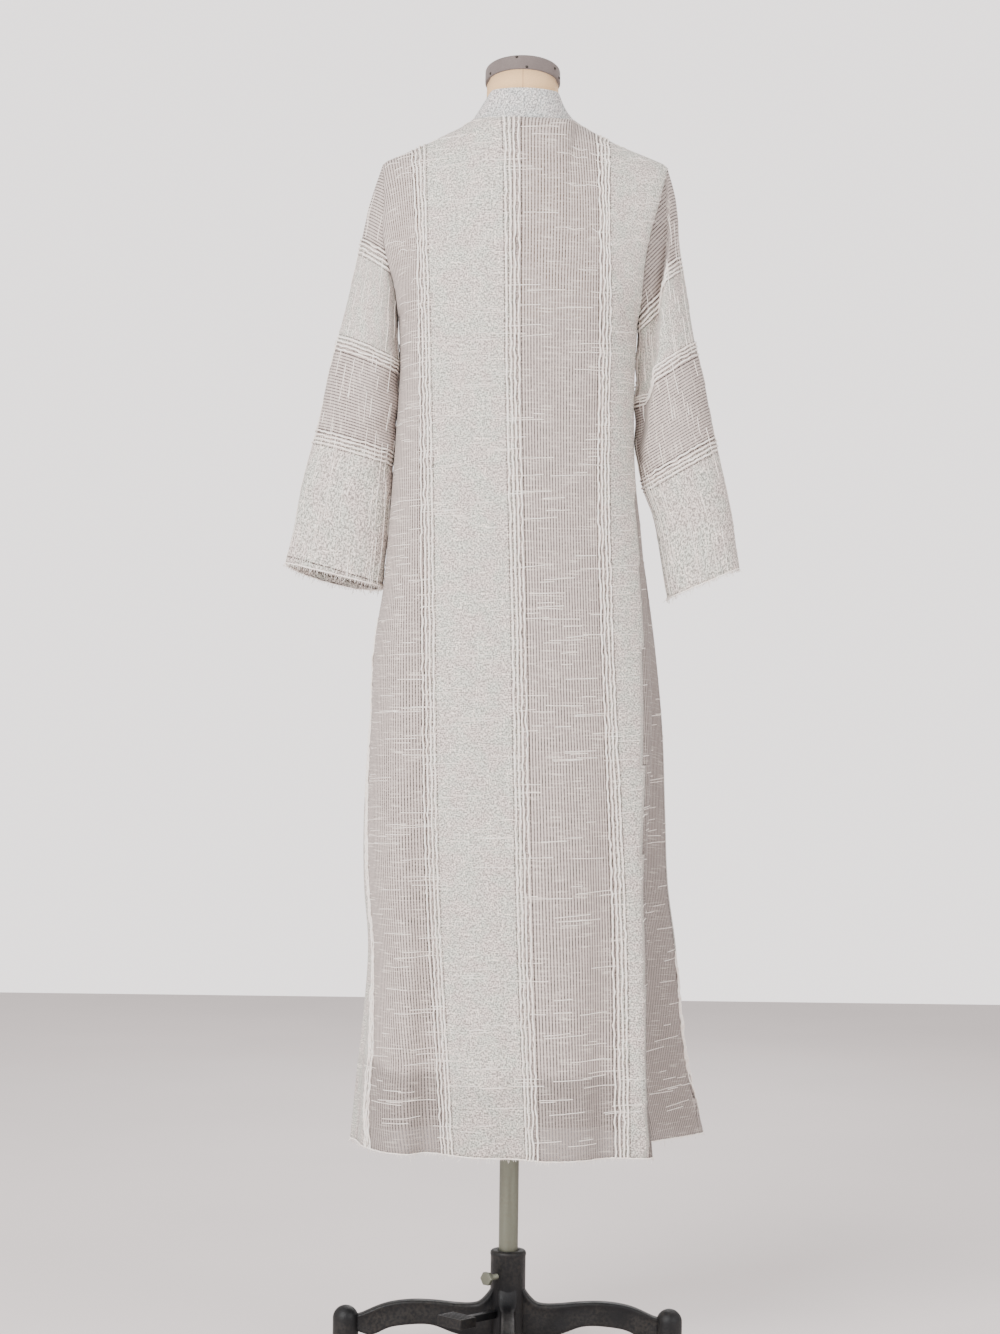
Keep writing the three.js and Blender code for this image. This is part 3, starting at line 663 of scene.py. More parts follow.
def slub_group() -> bpy.types.NodeTree:
    """Thick and thin yarn: streaks across the cloth and along it, and the fine grain of both yarns.

    Returns:
        The group.
    """
    graph, given, result = shader_group("slub_yarn", {"Across": 0.0, "Along": 0.0}, ("Weft", "Warp", "Grain"))

    def streaks(across: float, along: float, low: float, high: float,
                detail: float = 1.0) -> bpy.types.NodeSocket:
        """Noise drawn out one way.

        Args:
            across: Its scale across the cloth.
            along: Its scale along the cloth.
            low: Noise that gives 0.
            high: Noise that gives 1.
            detail: How fine it is.

        Returns:
            The streaks.
        """
        stretched = {0: graph.math("MULTIPLY", given["Across"], across),
                     1: graph.math("MULTIPLY", given["Along"], along)}
        place = graph.add("ShaderNodeCombineXYZ", stretched).outputs[0]
        return graph.ramp(graph.noise(place, 1.0, detail), low, high)

    graph.feed(result["Weft"], streaks(32.0, 480.0, 0.57, 0.67))
    graph.feed(result["Warp"], streaks(480.0, 34.0, 0.59, 0.69))
    fine = graph.math("ADD", streaks(680.0, 320.0, 0.32, 0.68), streaks(300.0, 700.0, 0.32, 0.68))
    graph.feed(result["Grain"], graph.math("MULTIPLY", fine, 0.5))
    return graph.tree


def patch_group() -> bpy.types.NodeTree:
    """Soft uneven patches and fine specks on any surface.

    Returns:
        The group.
    """
    graph, given, result = shader_group(
        "patches", {"Vector": (0.0, 0.0, 0.0), "Scale": 10.0, "Speck Scale": 300.0}, ("Patch", "Speck"))
    graph.feed(result["Patch"], graph.ramp(graph.noise(given["Vector"], given["Scale"], 3.0), 0.35, 0.65))
    graph.feed(result["Speck"], graph.ramp(graph.noise(given["Vector"], given["Speck Scale"], 2.0), 0.3, 0.7))
    return graph.tree


@dataclass(frozen=True)
class EffectGroups:
    """The node groups that the finishes share."""

    bands: bpy.types.NodeTree = field(default_factory=cord_band_group)
    ribs: bpy.types.NodeTree = field(default_factory=open_rib_group)
    slubs: bpy.types.NodeTree = field(default_factory=slub_group)
    patches: bpy.types.NodeTree = field(default_factory=patch_group)


EFFECTS = EffectGroups()


def new_material(name: str, roughness: float, metallic: float = 0.0, sheen: float = 0.0
                 ) -> tuple[bpy.types.Material, Graph, bpy.types.Node]:
    """A material with its Principled shader, and the constants set on the shader's own sockets.

    Args:
        name: The material's name.
        roughness: How matt the surface is.
        metallic: 1 for bare metal.
        sheen: How much soft light cloth catches at its edges.

    Returns:
        The material, its graph and its shader.
    """
    material = bpy.data.materials.new(name)
    material.use_nodes = True
    graph = Graph(material.node_tree)
    shader = material.node_tree.nodes["Principled BSDF"]
    shader.inputs["Roughness"].default_value = roughness
    shader.inputs["Metallic"].default_value = metallic
    shader.inputs["Sheen Weight"].default_value = sheen
    return material, graph, shader


def add_bump(graph: Graph, shader: bpy.types.Node, height: object, depth: float,
             strength: float = 0.6) -> None:
    """Gives a shader a relief of that depth in metres."""
    bump = graph.add("ShaderNodeBump", {"Height": height, "Distance": depth, "Strength": strength})
    graph.feed(shader.inputs["Normal"], bump.outputs[0])


@dataclass(frozen=True)
class WovenFinish:
    """The shell's cloth: bands of open and dense slubbed weave that follow the cloth's own pattern map."""

    name: str
    rib: Colour = srgb(196, 182, 175)
    # Painted shade: the holes' dark colour stands for the shaded inside seen through them, over the alpha
    # that lets real light through.
    hole: Colour = srgb(72, 60, 56)
    cool: Colour = srgb(198, 197, 187)
    warm: Colour = srgb(203, 190, 183)
    slub: Colour = srgb(246, 234, 222)
    # Painted shade in the gaps between the raised cords.
    gap: Colour = srgb(80, 68, 64)
    hole_cover: float = 0.34
    # How much of the painted shade the dense weave takes.
    dense_shade: float = 0.35
    roughness: float = 0.9

    def material(self) -> bpy.types.Material:
        """The finish as a material.

        Returns:
            The material.
        """
        material, graph, shader = new_material(self.name, self.roughness, sheen=0.15)
        pattern = graph.add("ShaderNodeUVMap", uv_map="weave").outputs["UV"]
        split = graph.add("ShaderNodeSeparateXYZ", {0: pattern})
        across, along = split.outputs[0], split.outputs[1]
        bands = graph.group(EFFECTS.bands, Across=across, Along=along)
        ribs = graph.group(EFFECTS.ribs, Across=across, Along=along)
        slubs = graph.group(EFFECTS.slubs, Across=across, Along=along)
        patches = graph.group(EFFECTS.patches, Vector=pattern, Scale=34.0, Speck_Scale=420.0)
        holes = graph.math("MULTIPLY", ribs.outputs["Hole"], bands.outputs["Open"])
        open_cloth = graph.blend(ribs.outputs["Hole"], self.rib, self.hole)
        open_cloth = graph.blend(graph.math("MULTIPLY", slubs.outputs["Weft"], 0.55), open_cloth, self.slub)
        dense = graph.blend(patches.outputs["Patch"], self.cool, self.warm)
        dense = graph.blend(graph.math("MULTIPLY", slubs.outputs["Weft"], 0.7), dense, self.slub)
        dense = graph.blend(graph.math("MULTIPLY", slubs.outputs["Warp"], 0.55), dense, self.slub)
        shade = graph.ramp(slubs.outputs["Grain"], 0.2, 0.8, 0.42, 1.34)
        grey = graph.add("ShaderNodeCombineColor", {0: shade, 1: shade, 2: shade}).outputs[0]
        dense = graph.blend(1.0, dense, grey, "MULTIPLY")
        # Painted shade: the mesh's shade attribute darkens the open weave's colour fully and the dense
        # weave's by dense_shade.
        kept = graph.add("ShaderNodeAttribute", attribute_name=SHADE_NAME).outputs["Color"]
        open_cloth = graph.blend(1.0, open_cloth, kept, "MULTIPLY")
        dense = graph.blend(self.dense_shade, dense, kept, "MULTIPLY")
        colour = graph.blend(bands.outputs["Open"], dense, open_cloth)
        # Painted shade in the gaps between the cords.
        colour = graph.blend(bands.outputs["Gap"], colour, self.gap)
        graph.feed(shader.inputs["Base Color"], colour)
        cover = graph.ramp(holes, 0.0, 1.0, 1.0, self.hole_cover)
        graph.feed(shader.inputs["Alpha"], cover)
        yarn = graph.math("ADD", slubs.outputs["Grain"], graph.math("MULTIPLY", slubs.outputs["Weft"], 0.8))
        open_height = graph.math("MULTIPLY", slubs.outputs["Weft"], 0.6)
        open_height = graph.math("ADD", ribs.outputs["Height"], open_height)
        height = graph.add("ShaderNodeMix", {0: bands.outputs["Open"], 2: yarn, 3: open_height}).outputs[0]
        height = graph.math("SUBTRACT", height, bands.outputs["Gap"])
        add_bump(graph, shader, height, 0.0007, 0.7)
        return material


@dataclass(frozen=True)
class PlainClothFinish:
    """A plain cloth with fine grain and uneven tone, and seams that run upright where asked."""

    name: str
    light: Colour
    dark: Colour
    roughness: float = 0.85
    grain: float = 900.0
    seam: Colour | None = None
    seam_width: float = 0.0009

    def material(self) -> bpy.types.Material:
        """The finish as a material.

        Returns:
            The material.
        """
        material, graph, shader = new_material(self.name, self.roughness, sheen=0.1)
        place = graph.add("ShaderNodeTexCoord").outputs["Object"]
        patches = graph.group(EFFECTS.patches, Vector=place, Scale=9.0, Speck_Scale=self.grain)
        colour = graph.blend(patches.outputs["Patch"], self.light, self.dark)
        fleck = graph.ramp(patches.outputs["Speck"], 0.0, 1.0, 0.9, 1.04)
        grey = graph.add("ShaderNodeCombineColor", {0: fleck, 1: fleck, 2: fleck}).outputs[0]
        colour = graph.blend(1.0, colour, grey, "MULTIPLY")
        height = patches.outputs["Speck"]
        if self.seam:
            x = graph.add("ShaderNodeSeparateXYZ", {0: place}).outputs[0]
            away = graph.math("ABSOLUTE", graph.math("SUBTRACT", x, AXIS_X * MM))
            line = graph.ramp(away, self.seam_width * 0.4, self.seam_width * 1.4, 1.0, 0.0)
            colour = graph.blend(graph.math("MULTIPLY", line, 0.75), colour, self.seam)
            height = graph.math("SUBTRACT", height, graph.math("MULTIPLY", line, 2.0))
        graph.feed(shader.inputs["Base Color"], colour)
        add_bump(graph, shader, height, 0.0003, 0.5)
        return material


@dataclass(frozen=True)
class ThreadFinish:
    """Spun yarn for the raised cords, slubs and rolled edges."""

    name: str = "raised_cord_yarn"
    light: Colour = srgb(255, 250, 243)
    dark: Colour = srgb(244, 231, 221)

    def material(self) -> bpy.types.Material:
        """The finish as a material.

        Returns:
            The material.
        """
        material, graph, shader = new_material(self.name, 0.85, sheen=0.2)
        place = graph.add("ShaderNodeTexCoord").outputs["Object"]
        patches = graph.group(EFFECTS.patches, Vector=place, Scale=180.0, Speck_Scale=900.0)
        graph.feed(shader.inputs["Base Color"], graph.blend(patches.outputs["Patch"], self.light, self.dark))
        add_bump(graph, shader, patches.outputs["Speck"], 0.0003)
        return material


@dataclass(frozen=True)
class MetalFinish:
    """Worn metal: a clean tone, a worn tone in patches, and dust in specks."""

    name: str
    clean: Colour
    worn: Colour
    dust: Colour
    dust_share: float
    roughness: float
    metallic: float
    drawn: float = 1.0
    relief: float = 0.0002
    specular: float = 0.5

    def material(self) -> bpy.types.Material:
        """The finish as a material.

        Returns:
            The material.
        """
        material, graph, shader = new_material(self.name, self.roughness, self.metallic)
        shader.inputs["Specular IOR Level"].default_value = self.specular
        place = graph.add("ShaderNodeTexCoord").outputs["Object"]
        drawn = graph.stretch(place, 1.0, 1.0, self.drawn)
        patches = graph.group(EFFECTS.patches, Vector=drawn, Scale=38.0, Speck_Scale=650.0)
        broad = graph.group(EFFECTS.patches, Vector=place, Scale=16.0, Speck_Scale=240.0)
        colour = graph.blend(graph.math("MULTIPLY", patches.outputs["Patch"], 0.6), self.clean, self.worn)
        dusty = graph.math("MULTIPLY", broad.outputs["Patch"], broad.outputs["Speck"])
        dusty = graph.math("MULTIPLY", dusty, self.dust_share)
        graph.feed(shader.inputs["Base Color"], graph.blend(dusty, colour, self.dust))
        rough = graph.math("ADD", graph.math("MULTIPLY", patches.outputs["Patch"], 0.14), self.roughness)
        graph.feed(shader.inputs["Roughness"], graph.math("ADD", rough, graph.math("MULTIPLY", dusty, 0.4)))
        add_bump(graph, shader, patches.outputs["Speck"], self.relief, 0.5)
        return material


def dress(piece: bpy.types.Object, material: bpy.types.Material, body: str, slot: str,
          *nodes: str) -> bpy.types.Object:
    """Gives a finished piece its material and body.

    Args:
        piece: The piece, in its place.
        material: Its finish.
        body: The body that it rides on.
        slot: The record's material slot, which is not used.
        *nodes: The nodes that it stands for.

    Returns:
        The piece.
    """
    if not piece.data.materials:
        piece.data.materials.append(material)
    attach(piece, body)
    if nodes:
        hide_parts(*nodes)
    LOG.info("%s: %d faces, on %s", piece.name, len(piece.data.polygons), body)
    return piece


# ---- geometry node trees ----
def geometry_tree(name: str, inputs: dict[str, float | int]) -> tuple[Graph, bpy.types.Node, bpy.types.Node]:
    """An empty geometry node tree with named inputs.

    Args:
        name: The tree's name.
        inputs: The default of each input.

    Returns:
        The tree's graph, its input node and its output node.
    """
    tree = bpy.data.node_groups.new(name, "GeometryNodeTree")
    tree.interface.new_socket("Geometry", in_out="INPUT", socket_type="NodeSocketGeometry")
    for label, default in inputs.items():
        kind = "NodeSocketInt" if isinstance(default, int) else "NodeSocketFloat"
        tree.interface.new_socket(label, in_out="INPUT", socket_type=kind).default_value = default
    tree.interface.new_socket("Geometry", in_out="OUTPUT", socket_type="NodeSocketGeometry")
    graph = Graph(tree)
    return graph, graph.add("NodeGroupInput"), graph.add("NodeGroupOutput")


def close_tree(graph: Graph, target: bpy.types.Node, geometry: object,
               material: bpy.types.Material) -> bpy.types.NodeTree:
    """Ends a tree in Realize Instances and Set Material.

    Args:
        graph: The tree's graph.
        target: Its output node.
        geometry: What it has made.
        material: The finish.

    Returns:
        The tree.
    """
    real = graph.add("GeometryNodeRealizeInstances", {"Geometry": geometry}).outputs[0]
    painted = graph.add("GeometryNodeSetMaterial", {"Geometry": real, "Material": material}).outputs[0]
    graph.feed(target.inputs[0], painted)
    return graph.tree


def thread_tree(material: bpy.types.Material) -> bpy.types.NodeTree:
    """Yarn along every line of a mesh: evenly stepped, wandering a little, and round.

    Args:
        material: The yarn's finish.

    Returns:
        The tree.
    """
    graph, given, target = geometry_tree(
        "yarn_along_lines",
        {"Radius": 0.001, "Step": 0.0025, "Wander": 0.001, "Wander Scale": 120.0, "Sides": 5})
    curve = graph.add("GeometryNodeMeshToCurve", {0: given.outputs["Geometry"]}).outputs[0]
    stepped = graph.add("GeometryNodeResampleCurve", {"Curve": curve, "Length": given.outputs["Step"]},
                        mode="LENGTH")
    noise = graph.add("ShaderNodeTexNoise", {"Scale": given.outputs["Wander Scale"], "Detail": 1.0})
    centred = graph.add("ShaderNodeVectorMath", {0: noise.outputs["Color"], 1: (0.5, 0.5, 0.5)},
                        operation="SUBTRACT")
    offset = graph.add("ShaderNodeVectorMath", {0: centred.outputs[0], "Scale": given.outputs["Wander"]},
                       operation="SCALE")
    moved = graph.add("GeometryNodeSetPosition",
                      {"Geometry": stepped.outputs[0], "Offset": offset.outputs[0]})
    round_profile = graph.add("GeometryNodeCurvePrimitiveCircle",
                              {"Resolution": given.outputs["Sides"], "Radius": given.outputs["Radius"]})
    yarn = graph.add("GeometryNodeCurveToMesh",
                     {"Curve": moved.outputs[0], "Profile Curve": round_profile.outputs[0],
                      "Fill Caps": True})
    return close_tree(graph, target, yarn.outputs[0], material)


def tack_tree(material: bpy.types.Material) -> bpy.types.NodeTree:
    """A round tack head on every point of a mesh.

    Args:
        material: The tacks' finish.

    Returns:
        The tree.
    """
    graph, given, target = geometry_tree("tack_heads", {"Radius": 0.002})
    head = graph.add("GeometryNodeMeshIcoSphere", {"Radius": given.outputs["Radius"], "Subdivisions": 3})
    heads = graph.add("GeometryNodeInstanceOnPoints", {"Points": given.outputs["Geometry"],
                                                       "Instance": head.outputs["Mesh"]})
    smooth = graph.add("GeometryNodeSetShadeSmooth", {"Geometry": heads.outputs[0]})
    return close_tree(graph, target, smooth.outputs[0], material)


def grow(piece: bpy.types.Object, tree: bpy.types.NodeTree, **inputs: float | int) -> bpy.types.Object:
    """Runs a geometry node tree on a piece and keeps the result as a plain mesh.

    Args:
        piece: The piece whose lines or points the tree follows.
        tree: The geometry node tree.
        **inputs: The tree's inputs by name, spaces written as underscores.

    Returns:
        The piece.
    """
    modifier = piece.modifiers.new(tree.name, "NODES")
    modifier.node_group = tree
    identifiers = {item.name: item.identifier for item in tree.interface.items_tree if item.in_out == "INPUT"}
    for name, value in inputs.items():
        modifier[identifiers[name.replace("_", " ")]] = value
    evaluated = piece.evaluated_get(bpy.context.evaluated_depsgraph_get())
    mesh = bpy.data.meshes.new_from_object(evaluated)
    piece.modifiers.clear()
    piece.data = mesh
    piece.data.shade_smooth()
    return piece


def line_object(name: str, lines: Sequence[Points]) -> bpy.types.Object:
    """An object that holds open lines of points, in millimetres, for yarn to follow.

    Args:
        name: The object's name.
        lines: The points of each line.

    Returns:
        The object.
    """
    lines = [line for line in lines if len(line) > 1]
    starts = np.cumsum([0, *(len(line) for line in lines)])
    edges = [(start + i, start + i + 1) for start, line in zip(starts, lines) for i in range(len(line) - 1)]
    return new_object(name, np.concatenate(lines), edges, [])


# ---- the abaya's shape ----
@dataclass
class ClothGrid:
    """A piece of cloth as a grid of points, with its own pattern map.

    The pattern's cords run along axis 0, and its across place rises along axis 1.
    """

    points: Points
    across: Points
    along: Points
    shade: Points | float = 1.0

    @property
    def uv(self) -> Points:
        """Pattern places in metres."""
        return np.stack([self.across, self.along], -1) * MM

    def raised(self, lift: float) -> Points:
        """The grid's points, lifted off the cloth."""
        return self.points + grid_normals(self.points) * lift

    def cord_line(self, across: float, lift: float, top: float = math.inf) -> Points:
        """The longest unbroken line along the cloth at one place of the pattern.

        Args:
            across: The place.
            lift: How far the line lies off the cloth.
            top: The height that it stops at.

        Returns:
            The line's points, or none.
        """
        raised = self.raised(lift)
        inside = (self.across[:, 0] <= across) & (across <= self.across[:, -1])
        inside &= self.points[:, 0, 2] <= top
        changes = np.diff(np.concatenate([[False], inside, [False]]).astype(int))
        breaks = np.flatnonzero(changes).reshape(-1, 2)
        if not len(breaks):
            return np.zeros((0, 3))
        first, last = max(breaks, key=np.ptp)
        return np.array([[np.interp(across, self.across[row], raised[row, :, k]) for k in range(3)]
                         for row in range(first, last)])


def yoke_points(share: Points, rise: Points, face: Face, inset: float = 0.0) -> Points:
    """Points of the yoke, from the armpits to the shoulder line and neckline.

    Args:
        share: Place across, from -1 at the left armhole to 1 at the right one.
        rise: Place up, from 0 at the armpits to 1 at the shoulder.
        face: Back or front.
        inset: How far inside the abaya the surface lies.

    Returns:
        The points.
    """
    share, rise = np.broadcast_arrays(np.asarray(share, float), np.asarray(rise, float))
    edge = np.abs(share)
    across = np.minimum(edge / NECK_SHARE, 1)
    neck = NECKS[face]
    top = np.where(edge > NECK_SHARE, np.interp(edge, SHOULDER_SHARES, SHOULDER_HEIGHTS),
                   mix(neck.height, NECK_SIDE_HEIGHT, across**2))
    top_depth = max(neck.depth - inset, 0) * np.sqrt(1 - across**2)
    chest = (SECTIONS[-1].back if face is Face.BACK else SECTIONS[-1].front) - inset
    roll = np.sin(rise * math.pi / 2) ** SHOULDER_ROUND
    oval = (1 - np.cos(rise * math.pi)) / 2
    z = mix(ARMPIT_HEIGHT, top - inset * rise, mix(roll, oval, edge**4))
    edge_z = mix(ARMPIT_HEIGHT, SHOULDER_HEIGHTS[-1], oval)
    edge_depth = max(ARMHOLE_DEPTH - inset, 0) * np.sin(rise * math.pi)
    fall = np.abs(np.cos(rise * math.pi / 2)) ** SHOULDER_ROUND
    middle = top_depth + (chest - top_depth) * fall
    plan = np.maximum(1 - edge ** (2 / ROUND), 0) ** (ROUND / 2)
    depth = edge_depth + (middle - edge_depth) * plan
    left = smooth_lookup(ARMHOLE_HEIGHTS, ARMHOLE_REACH[Side.LEFT], edge_z)
    right = smooth_lookup(ARMHOLE_HEIGHTS, ARMHOLE_REACH[Side.RIGHT], edge_z)
    return np.stack([share * (np.where(share < 0, left, right) - inset), face.value * depth, z], -1)


def neck_rise(share: Points) -> Points:
    """How far up each column of the front the V neck lets it go.

    Args:
        share: Place across, from -1 to 1.

    Returns:
        The rise of each column, up to 1.
    """
    across = np.minimum(np.abs(share) / NECK_SHARE, 1)
    top = mix(NECKS[Face.FRONT].height, NECK_SIDE_HEIGHT, across**2)
    cut = np.minimum(mix(V_POINT_HEIGHT, NECK_SIDE_HEIGHT, across**V_CURVE), top)
    roll = (cut - ARMPIT_HEIGHT) / (top - ARMPIT_HEIGHT)
    return np.where(across < 1, np.arcsin(roll ** (1 / SHOULDER_ROUND)) * 2 / math.pi, 1.0)


@dataclass
class AbayaCut:
    """The surfaces of the sewn abaya, which its pieces and the lining are cut from."""

    per_line: int = 8
    skirt_rows: int = 140
    yoke_rows: int = 36
    sleeve_columns: int = 144
    sleeve_steps: int = 9
    soft_relief: float = 1.1
    swell_length: float = 170
    armhole_gap: float = 0.5
    tuck_shade: float = 0.3

    def __post_init__(self) -> None:
        """Works out the columns of the skirt."""
        self.angles = np.radians(smooth_loop([line.angle for line in SKIRT_LINES], self.per_line, 360))
        hem_x = smooth_loop([line.x for line in SKIRT_LINES], self.per_line)
        hem_y = smooth_loop([line.y for line in SKIRT_LINES], self.per_line)
        hem = SECTIONS[0]
        self.hem_x = hem_x / np.where(hem_x < 0, hem.left, hem.right)
        self.hem_y = hem_y / np.where(hem_y < 0, hem.back, hem.front)
        self.shares = signed_power(np.cos(self.angles), ROUND)
        self.depths = signed_power(np.sin(self.angles), ROUND)
        self.seam = RIGHT_SEAM * self.per_line

    def reach(self, height: float, side: str) -> float:
        """How far the body reaches to one side at a height."""
        return float(smooth_lookup([s.z for s in SECTIONS], [getattr(s, side) for s in SECTIONS], height))

    def ring(self, height: float) -> Points:
        """One ring of the skirt, round from the left side seam by the back.

        Args:
            height: The ring's height.

        Returns:
            The ring's points.
        """
        folded = min(max((FOLDS_START - height) / (FOLDS_START - HEM_HEIGHT), 0), 1)
        x = mix(self.shares, self.hem_x, folded)
        y = mix(self.depths, self.hem_y, folded)
        x = x * np.where(x < 0, self.reach(height, "left") / -x.min(), self.reach(height, "right") / x.max())
        y = y * np.where(y < 0, self.reach(height, "back") / -y.min(), self.reach(height, "front") / y.max())
        return np.stack([x, y, np.full_like(x, height)], -1)

    def soften(self, points: Points, amount: float, length: float) -> Points:
        """Adds the low, uneven swells of hanging cloth, which die out towards the yoke.

        Args:
            points: The grid.
            amount: The height of the swells.
            length: The distance from one to the next.

        Returns:
            The grid with its swells.
        """
        x, y, z = np.moveaxis(points, -1, 0)
        turn = 2 * math.pi / length
        swell = (np.sin(turn * (0.9 * x + 0.5 * y + 0.12 * z))
                 + np.sin(turn * (0.6 * x - 0.9 * y - 0.2 * z) + 1.3)
                 + 0.8 * np.sin(turn * (1.7 * x + 0.07 * z) + 4.1)
                 + 0.6 * np.sin(turn * (0.2 * x + 0.55 * z) + 2.2))
        return points + grid_normals(points) * (swell * amount / 3)[..., None]

    def body(self, face: Face) -> ClothGrid:
        """The back or the front, from the hem to the shoulder line and the neck.

        Args:
            face: Back or front.

        Returns:
            The cloth.
        """
        count = len(self.angles)
        first, last = (0, self.seam) if face is Face.BACK else (self.seam, count)
        columns = np.arange(first, last + 1) % count
        heights = np.linspace(HEM_HEIGHT, ARMPIT_HEIGHT, self.skirt_rows + 1)
        skirt = np.stack([self.ring(height)[columns] for height in heights])
        shares = self.shares[columns]
        rises = np.arange(1, self.yoke_rows + 1)[:, None] / self.yoke_rows
        if face is Face.FRONT:
            rises = rises * neck_rise(shares)
        yoke = yoke_points(shares[None, :], rises, face)
        points = np.concatenate([skirt, yoke])
        across = self.body_pattern(points, face)
        shade = self.body_shade(points, face)
        points = self.soften(points, self.soft_relief, self.swell_length)
        return ClothGrid(points, across, arc_lengths(points, 0), shade)

    def past_turn(self, points: Points) -> Points:
        """Which points of the back lie beyond the line where it turns to the right side."""
        x, _, z = np.moveaxis(points, -1, 0)
        return (x > smooth_lookup(*BACK_TURN, z)) & (z < BACK_TURN[0][-1])

    def body_shade(self, points: Points, face: Face) -> Points:
        """Painted shade for the open weave: how much light its colour keeps, less in the fold at the right
        side and below the lining.

        Args:
            points: The grid of points.
            face: Back or front.

        Returns:
            The share of the light kept at each point.
        """
        x, _, z = np.moveaxis(points, -1, 0)
        wave = 7 * np.sin(x / 38) + 5 * np.sin(x / 17 + 1)
        bare = mix(BARE_SHADE, 1.0, smoothstep(z - wave, LINING_HEM - 8, LINING_HEM + 3))
        if face is Face.BACK:
            return bare * np.where(self.past_turn(points), TURN_SHADE, 1.0)
        turned = mix(TURN_SHADE, 1.0, smoothstep(arc_lengths(points, 1), 150, 230))
        return np.minimum(bare, turned)

    def body_pattern(self, points: Points, face: Face) -> Points:
        """Across places of the body's pattern, with a band of cords at every whole pitch.

        Args:
            points: The grid of points.
            face: Back or front.

        Returns:
            The across place of each point.
        """
        lengths = arc_lengths(points, 1)
        if face is Face.FRONT:
            centre = (CENTRE_FRONT - RIGHT_SEAM) * self.per_line
            across = lengths - lengths[:, centre:centre + 1] + FRONT_PATTERN
            flap = (FLAP_LINE - RIGHT_SEAM) * self.per_line
            across[:, :flap] = FLAP_PATTERN + lengths[:, :flap] - lengths[:, flap:flap + 1]
            return across
        marks = []
        for heights, places in BACK_BANDS.values():
            off = points[..., 0] - smooth_lookup(heights, places, points[..., 2])
            off = np.maximum.accumulate(off, axis=1)
            marks.append([np.interp(0, row, length) for row, length in zip(off, lengths)])
        across = np.empty_like(lengths)
        for row, (length, left, middle, right) in enumerate(zip(lengths, *marks)):
            places = [left - 1000, left, middle, right, right + 1000]
            values = [-BAND_PITCH - 1000 * LEFT_STRETCH, -BAND_PITCH, 0, BAND_PITCH, BAND_PITCH + 1000]
            across[row] = np.interp(length, places, values)
        across = self.left_band(points, lengths, across, marks[0])
        # Past the turn the pattern jumps within one cell: its packed cord gaps paint a dark shadow line along
        # the edge, and an open band starts beyond.
        return across + np.where(self.past_turn(points), BAND_PITCH * TURN_PATTERN, 0)

    def left_band(self, points: Points, lengths: Points, across: Points, marks: Sequence[float]) -> Points:
        """The pattern with its outermost left band drawn in to its place near the hem.

        Args:
            points: The grid of points.
            lengths: The length along each row up to each point.
            across: The across places so far.
            marks: The length at the next band on each row.

        Returns:
            The across places.
        """
        off = np.maximum.accumulate(points[..., 0] - smooth_lookup(*LEFT_BAND, points[..., 2]), axis=1)
        for row, (place, first_band) in enumerate(zip(off, marks)):
            share = smoothstep(-place[0], 0, LEFT_BAND_DRAW)
            if place[0] < 0:
                edge = np.interp(0, place, lengths[row])
                drawn = np.interp(lengths[row], [edge - 1000, edge, first_band],
                                  [-2 * BAND_PITCH - 1000, -2 * BAND_PITCH, -BAND_PITCH])
                left = lengths[row] < first_band
                across[row, left] = mix(across[row], drawn, share)[left]
        return across

    def sleeve(self, side: Side) -> ClothGrid:
        """A sleeve, as lines round the arm by places down it, from the armhole to the cuff.

        Args:
            side: Left or right.

        Returns:
            The cloth.
        """
        count = self.sleeve_columns
        turn = np.arange(count + 1)
        front = turn > count / 2
        rise = np.where(front, count - turn, turn) / (count / 2)
        outward = (1 - np.cos(rise * math.pi)) / 2
        width = np.sin(rise * math.pi)
        backs = yoke_points(np.full(count + 1, float(side.value)), rise, Face.BACK)
        armhole = np.stack([backs[:, 0] + side.value * self.armhole_gap,
                            np.where(front, -backs[:, 1], backs[:, 1]), backs[:, 2]], -1)
        rings = [armhole]
        for i, ring in enumerate(SLEEVE_RINGS[side]):
            down = (i + 1) / len(SLEEVE_RINGS[side])
            depth = ring.depth * width
            drop = np.where(front, CUFF_DROPS[side] * down**2 * width, 0)
            rings.append(np.stack([side.value * mix(ring.in_x, ring.out_x, outward),
                                   np.where(front, depth, -depth),
                                   mix(ring.in_z, ring.out_z, outward) - drop], -1))
        places = np.arange(len(rings))
        steps = np.linspace(0, len(rings) - 1, (len(rings) - 1) * self.sleeve_steps + 1)
        points = smooth_lookup(places, rings, steps).transpose(1, 0, 2)
        edge = smooth_lookup(places, TUCK_EDGE, steps)[None, :]
        tucked = np.where(front[:, None], 0, 1 - smoothstep(outward[:, None], edge - TUCK_WALL, edge))
        points[..., 1] *= 1 - TUCK[side] * tucked * np.clip(steps / 2.5, 0, 1)
        if side is Side.LEFT:
            points = points[::-1]
        across = self.sleeve_pattern(points, side, BAND_LINES[side])
        if side is Side.RIGHT:
            across = mix(across, self.sleeve_pattern(points, side, TUCKED_LINES), tucked)
        # Painted shade on the sleeve's cloth inside the fold.
        shade = 1 - self.tuck_shade * tucked * (TUCK[side] > 0)
        points = self.crease(points, side)
        return ClothGrid(points, across, arc_lengths(points, 0), shade)

    def crease(self, points: Points, side: Side) -> Points:
        """Soft slanting creases inside the elbow, which leave the armhole and the cuff as they are.

        Args:
            points: The grid of points.
            side: Left or right.

        Returns:
            The grid with its creases.
        """
        x, _, z = np.moveaxis(points, -1, 0)
        inner = 1 - smoothstep(side.value * x, 180, 245)
        reach = np.exp(-((z - 1330) / 120) ** 2)
        wave = np.sin((z + side.value * x * 0.8) * 2 * math.pi / 58) * 1.5
        still = np.minimum(np.arange(points.shape[1]), np.arange(points.shape[1])[::-1]) / 8
        swell = self.soft_relief * 0.6 * np.sin(z / 31 + x / 47)
        amount = (inner * reach * wave + swell) * np.minimum(still, 1)
        return points + grid_normals(points) * amount[..., None]

